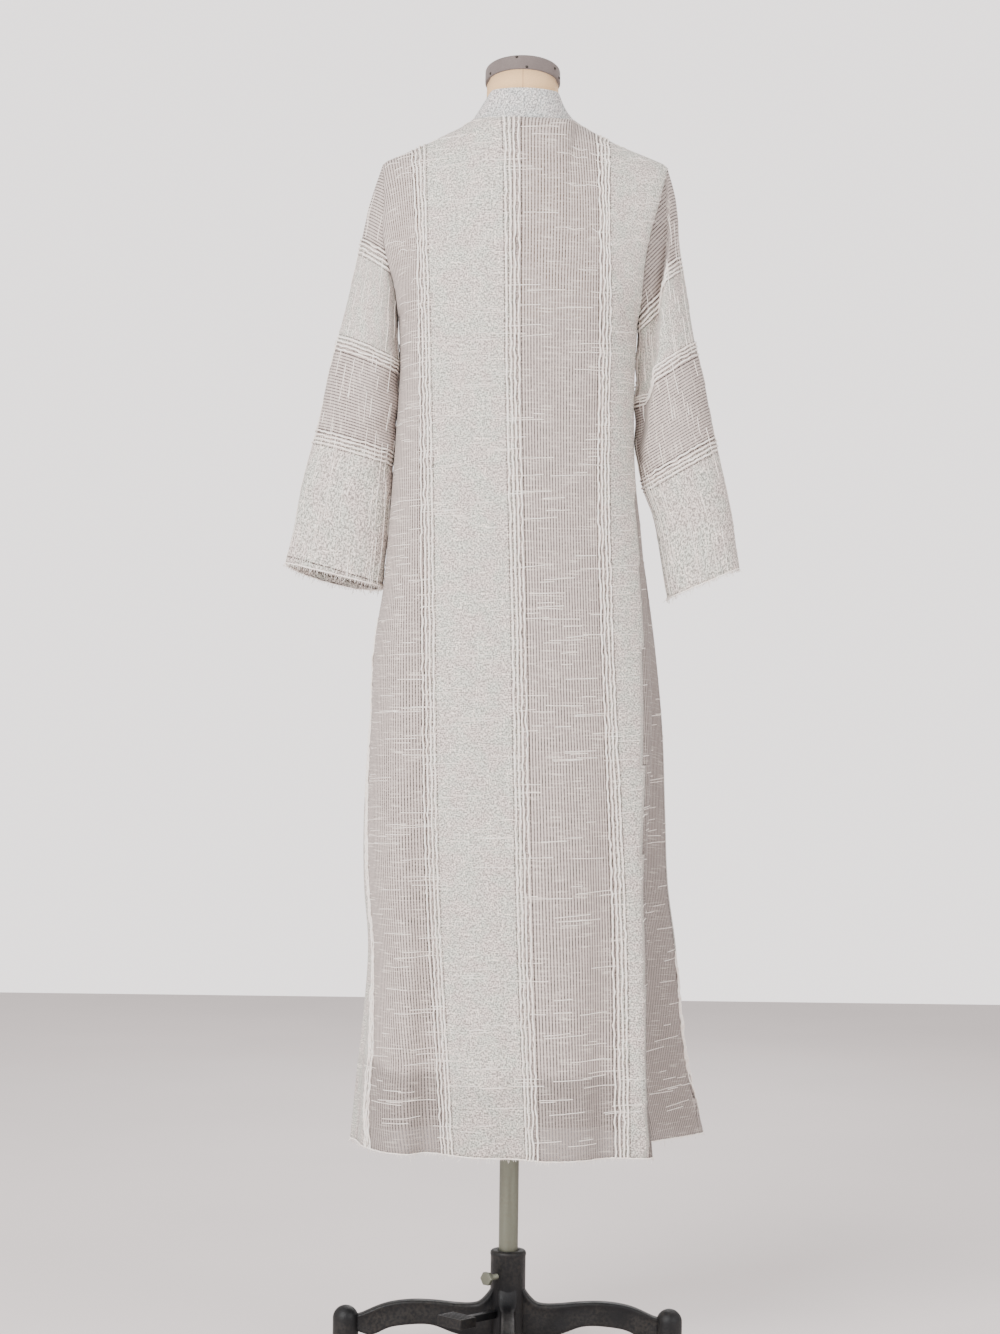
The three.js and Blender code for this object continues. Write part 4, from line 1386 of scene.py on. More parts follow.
    def sleeve_pattern(self, points: Points, side: Side, lines: Sequence[BandLine]) -> Points:
        """Across places of a sleeve's pattern, with its three bands of cords at whole pitches.

        Args:
            points: The grid of points.
            side: Left or right.
            lines: The three bands, from the top.

        Returns:
            The across place of each point.
        """
        flat = np.stack([side.value * points[..., 0], points[..., 2]], -1)
        away = []
        for line in lines:
            direction = np.array([line.in_x - line.out_x, line.in_z - line.out_z], float)
            direction /= np.linalg.norm(direction)
            away.append((flat - [line.out_x, line.out_z]) @ np.array([-direction[1], direction[0]]))
        first, second, third = away
        upper = BAND_PITCH * (1 + first / np.where(first - second == 0, 1, first - second))
        lower = BAND_PITCH * (2 + second / np.where(second - third == 0, 1, second - third))
        beyond = np.maximum(third - CUFF_START, 0)
        cuff = 3 * BAND_PITCH + third - beyond * (1 - CUFF_PATTERN)
        across = np.where(third > 0, cuff, np.where(second > 0, lower, upper))
        across = np.where(first < 0, BAND_PITCH + first, across)
        return np.maximum.accumulate(across, axis=1)


# ---- trims that follow the cloth ----
@dataclass
class TrimThreads:
    """The raised cords, loose slubs, rolled edge and fray of the shell."""

    material: bpy.types.Material
    cord_radius: float = 1.3
    slub_radius: float = 0.52
    roll_radius: float = 0.95
    fray_radius: float = 0.32
    cord_lift: float = 0.55
    slub_lift: float = 0.35
    fray_pitch: float = 0.55
    seed: int = 12

    def __post_init__(self) -> None:
        """Makes the tree that spins every yarn."""
        self.tree = thread_tree(self.material)

    def cords(self, name: str, cloth: ClothGrid, bands: dict[int, float]) -> bpy.types.Object:
        """Four wavy cords along each band of a piece of cloth, up to each band's top.

        Args:
            name: The object's name.
            cloth: The cloth.
            bands: Each band's top, by its number.

        Returns:
            The cords.
        """
        lines = [cloth.cord_line(band * BAND_PITCH + place * CORD_PITCH, self.cord_lift, top)
                 for band, top in bands.items() for place in CORD_PLACES]
        return grow(line_object(name, lines), self.tree, Radius=self.cord_radius * MM, Step=0.0024,
                    Wander=0.0058, Wander_Scale=80.0)

    def slubs(self, name: str, cloth: ClothGrid, count: int, level: bool = False) -> bpy.types.Object:
        """Short thick stretches of yarn that lie across the cords.

        Args:
            name: The object's name.
            cloth: The cloth.
            count: How many are tried.
            level: True to keep them level.

        Returns:
            The slubs.
        """
        generator = np.random.default_rng(self.seed)
        raised = cloth.raised(self.slub_lift)
        rows = len(raised)
        lines = []
        for _ in range(count):
            row = generator.uniform(2, rows - 3)
            places = cloth.across[int(row)]
            length = generator.uniform(14, 56)
            start = generator.uniform(places[2], places[-3])
            tilt = generator.normal(0.05, 0.03) * length
            step = max(abs(cloth.along[int(row) + 1, 0] - cloth.along[int(row), 0]), 0.5)
            line = []
            for t in np.linspace(0, 1, max(int(length / 5), 3)):
                at = row + t * tilt / step
                if level and line:
                    at = np.interp(line[0][2] + t * tilt, raised[:, round(column), 2], np.arange(rows))
                at = min(max(at, 0), rows - 1.001)
                low, share = int(at), at - int(at)
                column = np.interp(start + t * length, cloth.across[low], np.arange(len(places)))
                column = min(column, len(places) - 1.001)
                i, part = int(column), column - int(column)
                near = mix(raised[low, i], raised[low, i + 1], part)
                far = mix(raised[low + 1, i], raised[low + 1, i + 1], part)
                line.append(mix(near, far, share))
            if np.linalg.norm(np.subtract(line[0], line[-1])) > 6:
                lines.append(np.array(line))
        return grow(line_object(name, lines), self.tree, Radius=self.slub_radius * MM, Step=0.004,
                    Wander=0.0012, Wander_Scale=90.0, Sides=4)

    def edge(self, name: str, line: Points) -> bpy.types.Object:
        """A narrow rolled edge along a line."""
        return grow(line_object(name, [line]), self.tree, Radius=self.roll_radius * MM, Step=0.004,
                    Wander=0.0022, Wander_Scale=160.0, Sides=8)

    def fray(self, name: str, line: Points, downwards: Points) -> bpy.types.Object:
        """Ends of yarn that stand out from a cut edge.

        Args:
            name: The object's name.
            line: The edge.
            downwards: The way out at each of its points.

        Returns:
            The ends of yarn.
        """
        generator = np.random.default_rng(self.seed + 1)
        tips = []
        for place in np.arange(0, len(line) - 1, self.fray_pitch):
            i, share = int(place), place - int(place)
            root = mix(line[i], line[i + 1], share)
            length = generator.uniform(1.5, 6.5)
            lean = generator.normal(0, 0.35, 3)
            end = (downwards[i] + lean) * length
            tips.append(np.array([root, root + end * 0.5, root + end]))
        return grow(line_object(name, tips), self.tree, Radius=self.fray_radius * MM, Step=0.0018,
                    Wander=0.001, Wander_Scale=220.0, Sides=3)


def thicken(piece: bpy.types.Object, thickness: float) -> None:
    """Gives cloth its wall, inwards from the outer face.

    Args:
        piece: The cloth.
        thickness: The wall, in millimetres.
    """
    wall = piece.modifiers.new("wall", "SOLIDIFY")
    wall.thickness = thickness * MM
    wall.offset = -1


@dataclass
class AbayaShell:
    """The abaya's outer cloth: back, front, two sleeves and collar, with their cords and edges."""

    cut: AbayaCut
    cloth: bpy.types.Material
    collar_cloth: bpy.types.Material
    trims: TrimThreads
    wall: float = 0.8
    collar_wall: float = 1.8
    collar_top: float = 1762
    collar_side_top: float = 1746
    collar_half_width: float = 58
    collar_depth: float = 59
    v_top: float = 1640
    v_depth: float = 111
    flat_left: float = 0.7
    flat_right: float = 0.84
    body_slubs: int = 560
    sleeve_slubs: int = 170
    collar_pattern: float = -105

    def build(self) -> None:
        """Builds every piece of the shell."""
        grids = {face: self.cut.body(face) for face in Face}
        for face, grid in grids.items():
            self.body(face, grid)
        for side in Side:
            self.sleeve(side)
        self.collar(grids[Face.BACK], grids[Face.FRONT])

    def body(self, face: Face, grid: ClothGrid) -> None:
        """The back or the front with its trims.

        Args:
            face: Back or front.
            grid: Its cloth.
        """
        label = face.name.lower()
        piece = grid_object(f"abaya_{label}", grid.points, grid.uv, shade=grid.shade)
        thicken(piece, self.wall)
        dress(piece, self.cloth, "form", "shell_cloth", f"{label}_panel")
        down = grid.points[0] - grid.points[1]
        down /= np.linalg.norm(down, axis=-1, keepdims=True)
        trims = [self.trims.cords(f"{label}_cords", grid, BODY_CORDS[face]),
                 self.trims.slubs(f"{label}_slubs", grid, self.body_slubs, level=True),
                 self.trims.edge(f"{label}_hem_roll", grid.points[0]),
                 self.trims.fray(f"{label}_hem_fray", grid.points[0], down)]
        self.finish_trims(trims)

    def sleeve(self, side: Side) -> None:
        """One sleeve with its trims.

        Args:
            side: Left or right.
        """
        label = side.name.lower()
        grid = self.cut.sleeve(side)
        piece = grid_object(f"abaya_sleeve_{label}", grid.points, grid.uv, closed=True, shade=grid.shade)
        thicken(piece, self.wall)
        dress(piece, self.cloth, "form", "shell_cloth", f"sleeve_{label}")
        cuff = grid.points[:, -1]
        down = cuff - grid.points[:, -2]
        down /= np.linalg.norm(down, axis=-1, keepdims=True)
        trims = [self.trims.cords(f"sleeve_{label}_cords", grid, dict.fromkeys((1, 2, 3), math.inf)),
                 self.trims.slubs(f"sleeve_{label}_slubs", grid, self.sleeve_slubs),
                 self.trims.edge(f"sleeve_{label}_cuff_roll", cuff),
                 self.trims.fray(f"sleeve_{label}_cuff_fray", cuff, down)]
        self.finish_trims(trims)

    def finish_trims(self, trims: Iterable[bpy.types.Object]) -> None:
        """Dresses the yarns that lie on the shell."""
        for trim in trims:
            dress(trim, self.trims.material, "form", "shell_cloth")

    def collar(self, back: ClothGrid, front: ClothGrid) -> None:
        """The stand collar, which turns into a flat band down the V.

        Args:
            back: The back's cloth.
            front: The front's cloth.
        """
        count = len(self.cut.angles)
        back_shares = self.cut.shares[:self.cut.seam + 1]
        front_shares = self.cut.shares[np.arange(self.cut.seam, count + 1) % count]
        neckline = np.concatenate([back.points[-1][np.abs(back_shares) < NECK_SHARE + 0.001],
                                   front.points[-1][np.abs(front_shares) < NECK_SHARE - 0.001]])
        neckline = np.concatenate([neckline, neckline[:1]])
        reach = abs(neckline[0, 0])
        across = np.minimum(np.abs(neckline[:, 0]) / reach, 1)
        in_front = neckline[:, 1] > 1
        x = np.sign(neckline[:, 0]) * self.collar_half_width * across
        v_line = self.v_depth * np.sin((1 - across) * math.pi / 2) ** 0.75
        y = np.where(in_front, v_line, -self.collar_depth * np.sqrt(1 - across**2))
        left_fall = smoothstep(across, self.flat_left, 1)
        right_fall = smoothstep(across, self.flat_right, 1)
        back_top = mix(self.collar_top, self.collar_side_top, np.where(x < 0, left_fall, right_fall))
        z = np.where(in_front, mix(self.v_top, self.collar_side_top, across), back_top)
        top = np.stack([x, y, z], -1)
        middle = (neckline + top) / 2
        middle[:, 1] *= np.where(in_front, 1.03, 1.0)
        points = smooth_lookup((0, 1, 2), [neckline, middle, top], np.linspace(0, 2, 13))
        across_places = self.collar_pattern + arc_lengths(points, 0) * 0.9
        grid = ClothGrid(points, across_places, arc_lengths(points, 1))
        piece = grid_object("abaya_collar", points, grid.uv, closed=True, shade=1.0)
        thicken(piece, self.collar_wall)
        soft = piece.modifiers.new("soft_edges", "BEVEL")
        soft.width = 0.0007
        soft.segments = 2
        soft.angle_limit = math.radians(50)
        dress(piece, self.collar_cloth, "form", "collar_cloth", "collar")


@dataclass
class Lining:
    """A plain tube inside the shell that ends above the outer hem."""

    cut: AbayaCut
    material: bpy.types.Material
    hem: float = LINING_HEM
    top: float = 1436
    top_inset: float = 0.021
    inset: float = 0.07
    settle: float = 320
    rows: int = 70
    wall: float = 0.6

    def build(self) -> None:
        rings = []
        for height in np.linspace(self.hem, self.top, self.rows + 1):
            settled = smoothstep(self.top - height, 0, self.settle)
            scale = 1 - mix(self.top_inset, self.inset, settled)
            ring = self.cut.ring(height) * [scale, scale, 1]
            rings.append(np.concatenate([ring, ring[:1]]))
        points = np.stack(rings)
        grid = ClothGrid(points, arc_lengths(points, 1), arc_lengths(points, 0))
        piece = grid_object("abaya_lining", points, grid.uv, closed=True)
        thicken(piece, self.wall)
        dress(piece, self.material, "form", "lining_cloth", "lining")


@dataclass
class DressForm:
    """The limbless form: a smooth torso and neck with a centre seam, and the cap with its tacks."""

    jersey: bpy.types.Material
    cap_cloth: bpy.types.Material
    tack_metal: bpy.types.Material
    inset: float = 8
    throat: float = 0.42
    top: float = 1778
    tilt: float = 12.5
    cap_radius: float = 52.5
    cap_height: float = 24
    yoke_rows: int = 22
    torso: tuple[tuple[float, float, float, float], ...] = (
        (890, 141, 90, 86), (902, 148, 96, 91), (960, 152, 99, 93), (1040, 140, 90, 88), (1130, 122, 82, 85),
        (1230, 132, 88, 95), (1330, 146, 95, 107), (1400, 152, 99, 110))
    neck: tuple[tuple[float, float, float], ...] = (
        (1731, 54, 0), (1745, 51, 0), (1761, 50.4, 0.5), (1778, 50, 1))
    tacks: tuple[tuple[float, float], ...] = ((-45, 4), (-9, 18), (5, 3), (44, 12), (50, 4))

    def half(self, shares: Points, row: Points, face: Face) -> Points:
        """Half a ring of the torso.

        Args:
            shares: Places across.
            row: Height, half width, back and front.
            face: Back or front.

        Returns:
            The half ring.
        """
        height, half, back, front = row
        plan = np.maximum(1 - np.abs(shares) ** (2 / ROUND), 0) ** (ROUND / 2)
        depth = plan * (-back if face is Face.BACK else front)
        return np.stack([half * shares, depth, np.full_like(shares, height)], -1)

    def build(self) -> None:
        """Builds the torso, the cap and its tacks."""
        self.build_torso()
        self.build_cap()

    def build_torso(self) -> None:
        """The torso and neck, one closed body."""
        side = np.linspace(0, 90 - NECK_ANGLE, 16)
        quarter = np.cos(np.radians([*side, *np.linspace(side[-1], 90, 8)[1:-1]])) ** ROUND
        shares = np.concatenate([quarter, [0], -quarter[::-1]])
        neck_column = len(side) - 1
        rises = np.arange(self.yoke_rows + 1)[:, None] / self.yoke_rows
        back = yoke_points(shares[::-1][None, :], rises, Face.BACK, self.inset)
        front = yoke_points(shares[None, :], rises, Face.FRONT, self.inset)
        front[..., 1] *= 1 - self.throat * rises**2
        table = np.array(self.torso)
        heights = np.concatenate([[890, 895, 902], np.arange(920, 1401, 20)])
        rows = smooth_lookup(table[:, 0], table, heights)
        lower = np.stack([np.concatenate([self.half(shares[::-1], row, Face.BACK),
                                          self.half(shares, row, Face.FRONT)[1:]]) for row in rows])
        armpits = np.concatenate([back[0], front[0][1:]])
        lower = np.concatenate([lower, armpits[None]])
        inner = slice(neck_column, len(shares) - neck_column)
        neckline = np.concatenate([back[-1][inner], front[-1][inner][1:]])
        reach = np.where(neckline[:, 0] < 0, -neckline[:, 0].min(), neckline[:, 0].max())
        across = np.clip(neckline[:, 0] / reach, -1, 1)
        rounded = np.sqrt(1 - across**2) * np.sign(neckline[:, 1] + 1e-9)
        slope = math.tan(math.radians(self.tilt))
        rings = [np.stack([across * radius, rounded * radius, height - rounded * radius * slope * lean], -1)
                 for height, radius, lean in self.neck]
        neck = np.stack([neckline, *rings])
        piece = self.join([lower, back, front, neck, self.fan(lower[0]), self.fan(neck[-1]),
                           *(self.armhole_plate(back, front, place) for place in (0, -1))])
        dress(piece, self.jersey, "form", "form_cloth", "dress_form")

    def armhole_plate(self, back: Points, front: Points, place: int) -> Points:
        """The flat plate that closes one armhole of the form."""
        other = -1 - place
        return self.fan(np.concatenate([back[:, place], front[::-1, other]]))

    def fan(self, ring: Points) -> Points:
        """A grid from a ring in to its middle."""
        middle = np.broadcast_to(ring.mean(axis=0), ring.shape)
        return np.stack([ring, mix(ring, middle, 0.5), middle])

    def join(self, grids: Sequence[Points]) -> bpy.types.Object:
        """One closed mesh from several grids that share their edges.

        Args:
            grids: The grids.

        Returns:
            The mesh's object.
        """
        vertices, quads, start = [], [], 0
        for grid in grids:
            rows, columns, _ = grid.shape
            quads.append(start + grid_quads(rows, columns))
            vertices.append(grid.reshape(-1, 3))
            start += rows * columns
        piece = new_object("form_torso", np.concatenate(vertices), [], np.concatenate(quads).tolist())
        merge(piece, recalculate=True)
        piece.data.shade_smooth()
        return piece

    def build_cap(self) -> None:
        """The cap on the neck and the tacks that hold its cloth."""
        radius, height = self.cap_radius, self.cap_height
        lean = Matrix.Rotation(-math.radians(self.tilt), 4, "X")
        shift = Vector((0, 0, self.top * MM))
        cap = turned_object("form_neck_cap", [
            (0, 0.34), (radius - 0.8, 0.34), (radius, 1.1), (radius + 0.25, 4), (radius, height - 6),
            (radius - 0.6, height - 4), (radius - 2.2, height - 2.4), (radius * 0.85, height - 1.4),
            (radius * 0.5, height - 0.4), (0, height)], 96)
        move_mesh(cap, lean, shift)
        dress(cap, self.cap_cloth, "form", "cap_cloth", "neck_cap")
        places = np.array([(x, -math.sqrt(radius**2 - x**2), z) for x, z in self.tacks])
        tacks = grow(new_object("form_cap_tacks", places, [], []), tack_tree(self.tack_metal), Radius=0.0019)
        move_mesh(tacks, lean, shift)
        dress(tacks, self.tack_metal, "form", "steel")


@dataclass
class PoleColumn:
    """The steel pole and the plate that carries the form."""

    steel: bpy.types.Material
    radius: float = 13.5
    foot: float = 45
    plate_radius: float = 55
    plate_top: float = 889.66
    plate_thickness: float = 12

    def build(self) -> None:
        """Builds the pole with its plate."""
        under = self.plate_top - self.plate_thickness
        piece = turned_object("stand_pole", [
            (0, self.foot), (self.radius - 1, self.foot), (self.radius, self.foot + 1),
            (self.radius, under - 3), (self.radius + 1, under - 0.8), (self.radius + 3, under),
            (self.plate_radius - 1, under), (self.plate_radius, under + 1),
            (self.plate_radius, self.plate_top - 1), (self.plate_radius - 1, self.plate_top),
            (0, self.plate_top)])
        crisp(piece)
        dress(piece, self.steel, "column", "steel", "pole")


@dataclass
class IronStand:
    """The cast hub, its four arching legs and their bullet feet."""

    iron: bpy.types.Material
    hub_radius: float = 24.5
    hub_bottom: float = 22
    hub_top: float = 148
    bore: float = 14
    leg_half_width: float = 9
    leg_reach: float = 207.5
    foot_reach: float = 226
    foot_radius: float = 18
    foot_height: float = 68
    nose_start: float = 50
    leg_top: tuple[tuple[float, float], ...] = (
        (19, 104), (25.1, 92), (31, 84), (40, 76), (50, 73.5), (67, 73.5), (102, 76.6), (138, 77),
        (173, 71), (207.5, 56))
    leg_bottom: tuple[tuple[float, float], ...] = (
        (19, 23.5), (25.1, 24), (48, 25), (74, 31), (105, 42), (138, 42), (164, 38), (194, 27), (207.5, 32))
    leg_section: tuple[tuple[float, float], ...] = (
        (0, 1), (0.55, 0.995), (0.86, 0.97), (1, 0.92), (0.99, 0.86), (0.86, 0.8), (0.8, 0.7), (0.8, 0.3),
        (0.84, 0.12), (0.78, 0.04), (0.45, 0), (0, 0))

    def build(self) -> None:
        """Builds the hub, legs and feet."""
        self.build_hub()
        for turn, label in enumerate(("right", "front", "left", "back")):
            self.build_leg(label, turn * math.pi / 2)
            self.build_foot(label, turn * math.pi / 2)

    def build_hub(self) -> None:
        """The socket that takes the pole, with a rolled top edge."""
        r, top, low = self.hub_radius, self.hub_top, self.hub_bottom
        profile = [(self.bore, low), (r - 2, low), (r - 0.6, low + 1), (r, low + 3), (r, top - 8),
                   (r + 0.5, top - 6), (r + 0.6, top - 4), (r + 0.1, top - 2), (r - 1.4, top - 0.4),
                   (r - 3, top), (self.bore + 2, top), (self.bore + 0.6, top - 0.6), (self.bore, top - 2),
                   (self.bore, low)]
        piece = turned_object("stand_socket", profile, 96)
        crisp(piece, 50)
        dress(piece, self.iron, "stand", "cast_iron", "stand_hub")

    def build_leg(self, label: str, turn: float) -> None:
        """One leg: a tall rib with a rolled upper lip, thicker where it joins the socket.

        Args:
            label: The side it points to.
            turn: Its turn about the pole.
        """
        reach = np.concatenate([np.linspace(19, 50, 12), np.linspace(56, self.leg_reach + 4, 26)])
        top = smooth_lookup(*np.array(self.leg_top).T, reach)
        bottom = smooth_lookup(*np.array(self.leg_bottom).T, reach)
        width = self.leg_half_width * (1 + 0.5 * (1 - smoothstep(reach, 22, 52)))
        section = np.array(self.leg_section)
        loop = np.concatenate([section, section[-2::-1] * [-1, 1]])
        grid = np.stack([np.broadcast_to(reach[:, None], (len(reach), len(loop))),
                         width[:, None] * loop[None, :, 0],
                         mix(bottom[:, None], top[:, None], loop[None, :, 1])], -1)
        ends = [np.broadcast_to(grid[i].mean(axis=0), grid[i].shape)[None] for i in (0, -1)]
        piece = grid_object(f"stand_leg_{label}", np.concatenate([ends[0], grid, ends[1]]))
        merge(piece, recalculate=True)
        move_mesh(piece, Matrix.Rotation(turn, 4, "Z"))
        rounder = piece.modifiers.new("cast_rounding", "SUBSURF")
        rounder.levels = rounder.render_levels = 1
        dress(piece, self.iron, "stand", "cast_iron", f"leg_{label}")

    def build_foot(self, label: str, turn: float) -> None:
        """One bullet-shaped foot.

        Args:
            label: The side it stands on.
            turn: Its turn about the pole.
        """
        r, height = self.foot_radius, self.foot_height
        start = self.nose_start
        nose = [(r * math.cos(a), start + (height - start) * math.sin(a))
                for a in np.linspace(0, math.pi / 2, 10)]
        profile = [(0, 0), (r - 3, 0), (r - 1.4, 0.8), (r - 0.4, 2.2), (r, 4), *nose[:-1], (0, height)]
        piece = turned_object(f"stand_foot_{label}", profile, 48)
        shift = Vector((self.foot_reach * math.cos(turn), self.foot_reach * math.sin(turn), 0)) * MM
        move_mesh(piece, shift=shift)
        crisp(piece, 60)
        dress(piece, self.iron, "stand", "cast_iron", f"foot_{label}")


@dataclass
class ClampScrew:
    """The hexagon-headed screw that clamps the pole."""

    steel: bpy.types.Material
    height: float = 114
    azimuth: float = 229.3
    shaft: float = 4
    tip: float = 14.6
    head_start: float = 42
    head_end: float = 48
    head: float = 10
    thread_pitch: float = 1.25

    def build(self) -> None:
        """Builds the screw with its thread and head."""
        profile = [(0, self.tip), (self.shaft - 0.6, self.tip)]
        for turn in np.arange(self.tip + 0.6, self.head_start - 1, self.thread_pitch):
            profile += [(self.shaft - 0.5, turn), (self.shaft, turn + self.thread_pitch / 2)]
        profile += [(self.shaft, self.head_start), (0, self.head_start)]
        piece = turned_object("clamp_screw_hex", profile, 24)
        head = bmesh.new()
        head.from_mesh(piece.data)
        thickness = (self.head_end - self.head_start) * MM
        middle = Matrix.Translation((AXIS_X * MM, 0, (self.head_start + self.head_end) / 2 * MM))
        made = bmesh.ops.create_cone(head, cap_ends=True, segments=6, radius1=self.head * MM,
                                     radius2=self.head * MM, depth=thickness, matrix=middle)
        edges = {edge for vertex in made["verts"] for edge in vertex.link_edges}
        bmesh.ops.bevel(head, geom=list(edges), offset=0.0009, segments=3, affect="EDGES", profile=0.6)
        head.to_mesh(piece.data)
        head.free()
        crisp(piece)
        turn = Matrix.Rotation(math.radians(self.azimuth), 4, "Z") @ Matrix.Rotation(math.pi / 2, 4, "Y")
        move_mesh(piece, turn, Vector((0, 0, self.height * MM)))
        dress(piece, self.steel, "screw", "steel", "clamp_screw")


@dataclass
class FootPedal:
    """The pedal that frees the pole: a ribbed plate on a short arm."""

    iron: bpy.types.Material
    azimuth: float = 225
    start: float = 26
    reach: float = 99
    height: float = 63
    width: float = 46
    length: float = 30
    thickness: float = 14
    arm: float = 10
    arm_depth: float = 10
    arm_drop: float = 1.4
    arm_lap: float = 5
    rib_count: int = 5
    rib_spread: float = 0.36
    rib_size: tuple[float, float] = (2.2, 1.4)

    def add_block(self, work: bmesh.types.BMesh, along: float, height: float,
                  size: tuple[float, float, float]) -> None:
        """Adds a block on the pedal's line, before the pedal is turned.

        Args:
            work: The mesh.
            along: How far its middle is from the pole's axis.
            height: The height of its middle.
            size: Its length, width and thickness.
        """
        place = Matrix.Translation((AXIS_X * MM + along * MM, 0, height * MM))
        stretch = Matrix.Diagonal((size[0] * MM, size[1] * MM, size[2] * MM, 1))
        bmesh.ops.create_cube(work, size=1, matrix=place @ stretch)

    def build(self) -> None:
        """Builds the pedal with its arm and the ribs on its tread."""
        work = bmesh.new()
        self.add_block(work, self.reach, self.height, (self.length, self.width, self.thickness))
        span = self.reach - self.length / 2 + self.arm_lap - self.start
        self.add_block(work, self.start + span / 2, self.height - self.arm_drop,
                       (span, self.arm, self.arm_depth))
        top = self.height + self.thickness / 2
        for rib in np.linspace(-self.rib_spread, self.rib_spread, self.rib_count) * self.length:
            self.add_block(work, self.reach + rib, top,
                           (self.rib_size[0], self.width * 0.86, self.rib_size[1]))
        bmesh.ops.recalc_face_normals(work, faces=work.faces)
        piece = new_object("stand_pedal", np.zeros((0, 3)), [], [])
        work.to_mesh(piece.data)
        work.free()
        piece.data.shade_smooth()
        crisp(piece)
        move_mesh(piece, Matrix.Rotation(math.radians(self.azimuth), 4, "Z"))
        round_edges = piece.modifiers.new("cast_edges", "BEVEL")
        round_edges.width = 0.0011
        round_edges.segments = 3
        dress(piece, self.iron, "pedal", "cast_iron", "pedal")


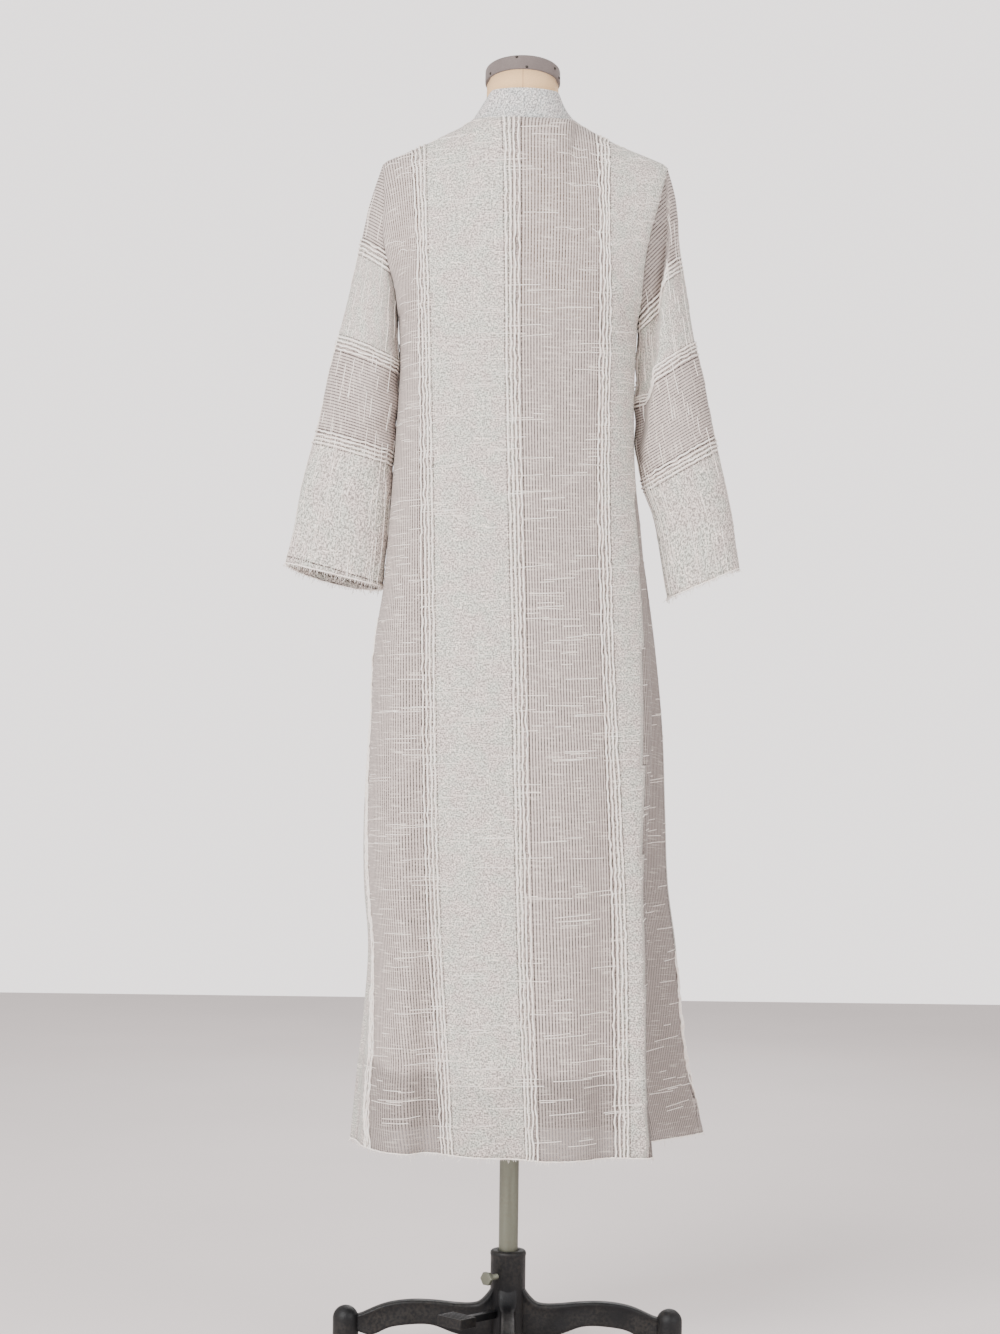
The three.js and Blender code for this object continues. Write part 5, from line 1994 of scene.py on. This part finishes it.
# ---- studio ----
@dataclass
class Studio:
    """The camera, the lights and the floor."""

    camera_shift: float = -21.7
    camera_distance: float = 3900
    camera_height: float = 929.6
    pitch: float = 0.47
    roll: float = 0.0125
    lens: float = 75.2
    floor_size: float = 9.0
    floor_colour: Colour = srgb(226, 218, 216)
    world_strength: float = 1.15
    backdrop_strength: float = 2.6

    def set_camera(self) -> None:
        """The camera behind the wearer, looking along +Y."""
        data = bpy.data.cameras.new("camera")
        data.lens = self.lens
        data.sensor_width = 36
        camera = bpy.data.objects.new("camera", data)
        place = Vector(((AXIS_X + self.camera_shift) * MM, -self.camera_distance * MM,
                        self.camera_height * MM))
        camera.matrix_world = (Matrix.Translation(place)
                               @ Matrix.Rotation(math.radians(90 + self.pitch), 4, "X")
                               @ Matrix.Rotation(self.roll, 4, "Z"))
        bpy.context.scene.collection.objects.link(camera)
        bpy.context.scene.camera = camera

    def area_light(self, name: str, place: tuple[float, float, float], size: float, power: float) -> None:
        """A soft square light that faces the middle of the garment.

        Args:
            name: The object's name.
            place: Where it hangs.
            size: Its side.
            power: Its power in watts.
        """
        data = bpy.data.lights.new(name, "AREA")
        data.size = size
        data.energy = power
        light = bpy.data.objects.new(name, data)
        light.location = place
        light.rotation_euler = (Vector((0, 0, 1)) - Vector(place)).to_track_quat("-Z", "Y").to_euler()
        bpy.context.scene.collection.objects.link(light)

    def set_lights(self) -> None:
        """A large soft light from the upper left, a weaker fill and a pale surround."""
        self.area_light("key", (-2.4, -3.4, 2.9), 2.4, 340)
        self.area_light("fill", (2.9, -2.6, 1.7), 2.4, 75)
        self.area_light("behind", (0.6, 2.6, 2.6), 2.0, 50)
        world = bpy.data.worlds.new("pale_surround")
        world.use_nodes = True
        background = world.node_tree.nodes["Background"]
        background.inputs["Color"].default_value = srgb(238, 232, 231)
        graph = Graph(world.node_tree)
        seen = graph.add("ShaderNodeLightPath").outputs["Is Camera Ray"]
        strength = graph.ramp(seen, 0.0, 1.0, self.world_strength, self.backdrop_strength)
        graph.feed(background.inputs["Strength"], strength)
        bpy.context.scene.world = world

    def set_floor(self) -> None:
        """A plain pale floor."""
        half = self.floor_size / 2 / MM
        corners = np.array([(-half, -half, 0), (half, -half, 0), (half, half, 0), (-half, half, 0)])
        floor = new_object("floor", corners, [], [(0, 1, 2, 3)])
        material, graph, shader = new_material("pale_floor", 0.75)
        place = graph.add("ShaderNodeTexCoord").outputs["Object"]
        patches = graph.group(EFFECTS.patches, Vector=place, Scale=1.2, Speck_Scale=60.0)
        darker = tuple(0.96 * part for part in self.floor_colour[:3]) + (1.0,)
        colour = graph.blend(patches.outputs["Patch"], self.floor_colour, darker)
        graph.feed(shader.inputs["Base Color"], colour)
        floor.data.materials.append(material)

    def build(self) -> None:
        """Sets up the camera, lights and floor."""
        self.set_camera()
        self.set_lights()
        self.set_floor()


def main() -> None:
    """Builds the studio, the stand, the form and the abaya."""
    logging.basicConfig(level=logging.INFO, format="%(message)s")
    Studio().build()
    steel = MetalFinish("worn_steel", srgb(124, 127, 114), srgb(102, 102, 90), srgb(120, 111, 96),
                        dust_share=0.25, roughness=0.36, metallic=0.85, drawn=0.08).material()
    iron = MetalFinish("black_enamelled_iron", srgb(11, 12, 14), srgb(20, 20, 22), srgb(98, 90, 80),
                       dust_share=0.13, roughness=0.38, metallic=0.0, relief=0.0003,
                       specular=0.28).material()
    tack = MetalFinish("blued_tack_steel", srgb(44, 40, 37), srgb(60, 53, 46), srgb(78, 70, 62),
                       dust_share=0.2, roughness=0.4, metallic=0.6).material()
    jersey = PlainClothFinish("cream_form_jersey", srgb(236, 197, 148), srgb(228, 187, 138), grain=1100.0,
                              seam=srgb(190, 150, 112)).material()
    cap_cloth = PlainClothFinish("grey_cap_cloth", srgb(124, 112, 108), srgb(104, 94, 91),
                                 grain=700.0).material()
    lining_cloth = PlainClothFinish("lining_plain_weave", srgb(158, 145, 139), srgb(148, 135, 129),
                                    grain=1300.0).material()
    shell = WovenFinish("banded_slub_weave").material()
    collar_cloth = WovenFinish("collar_slub_weave", cool=srgb(192, 194, 192), warm=srgb(200, 193, 191),
                               slub=srgb(240, 234, 228)).material()
    trims = TrimThreads(ThreadFinish().material())
    cut = AbayaCut()
    PoleColumn(steel).build()
    IronStand(iron).build()
    ClampScrew(steel).build()
    FootPedal(iron).build()
    DressForm(jersey, cap_cloth, tack).build()
    Lining(cut, lining_cloth).build()
    AbayaShell(cut, shell, collar_cloth, trims).build()


if __name__ == "__main__":
    main()
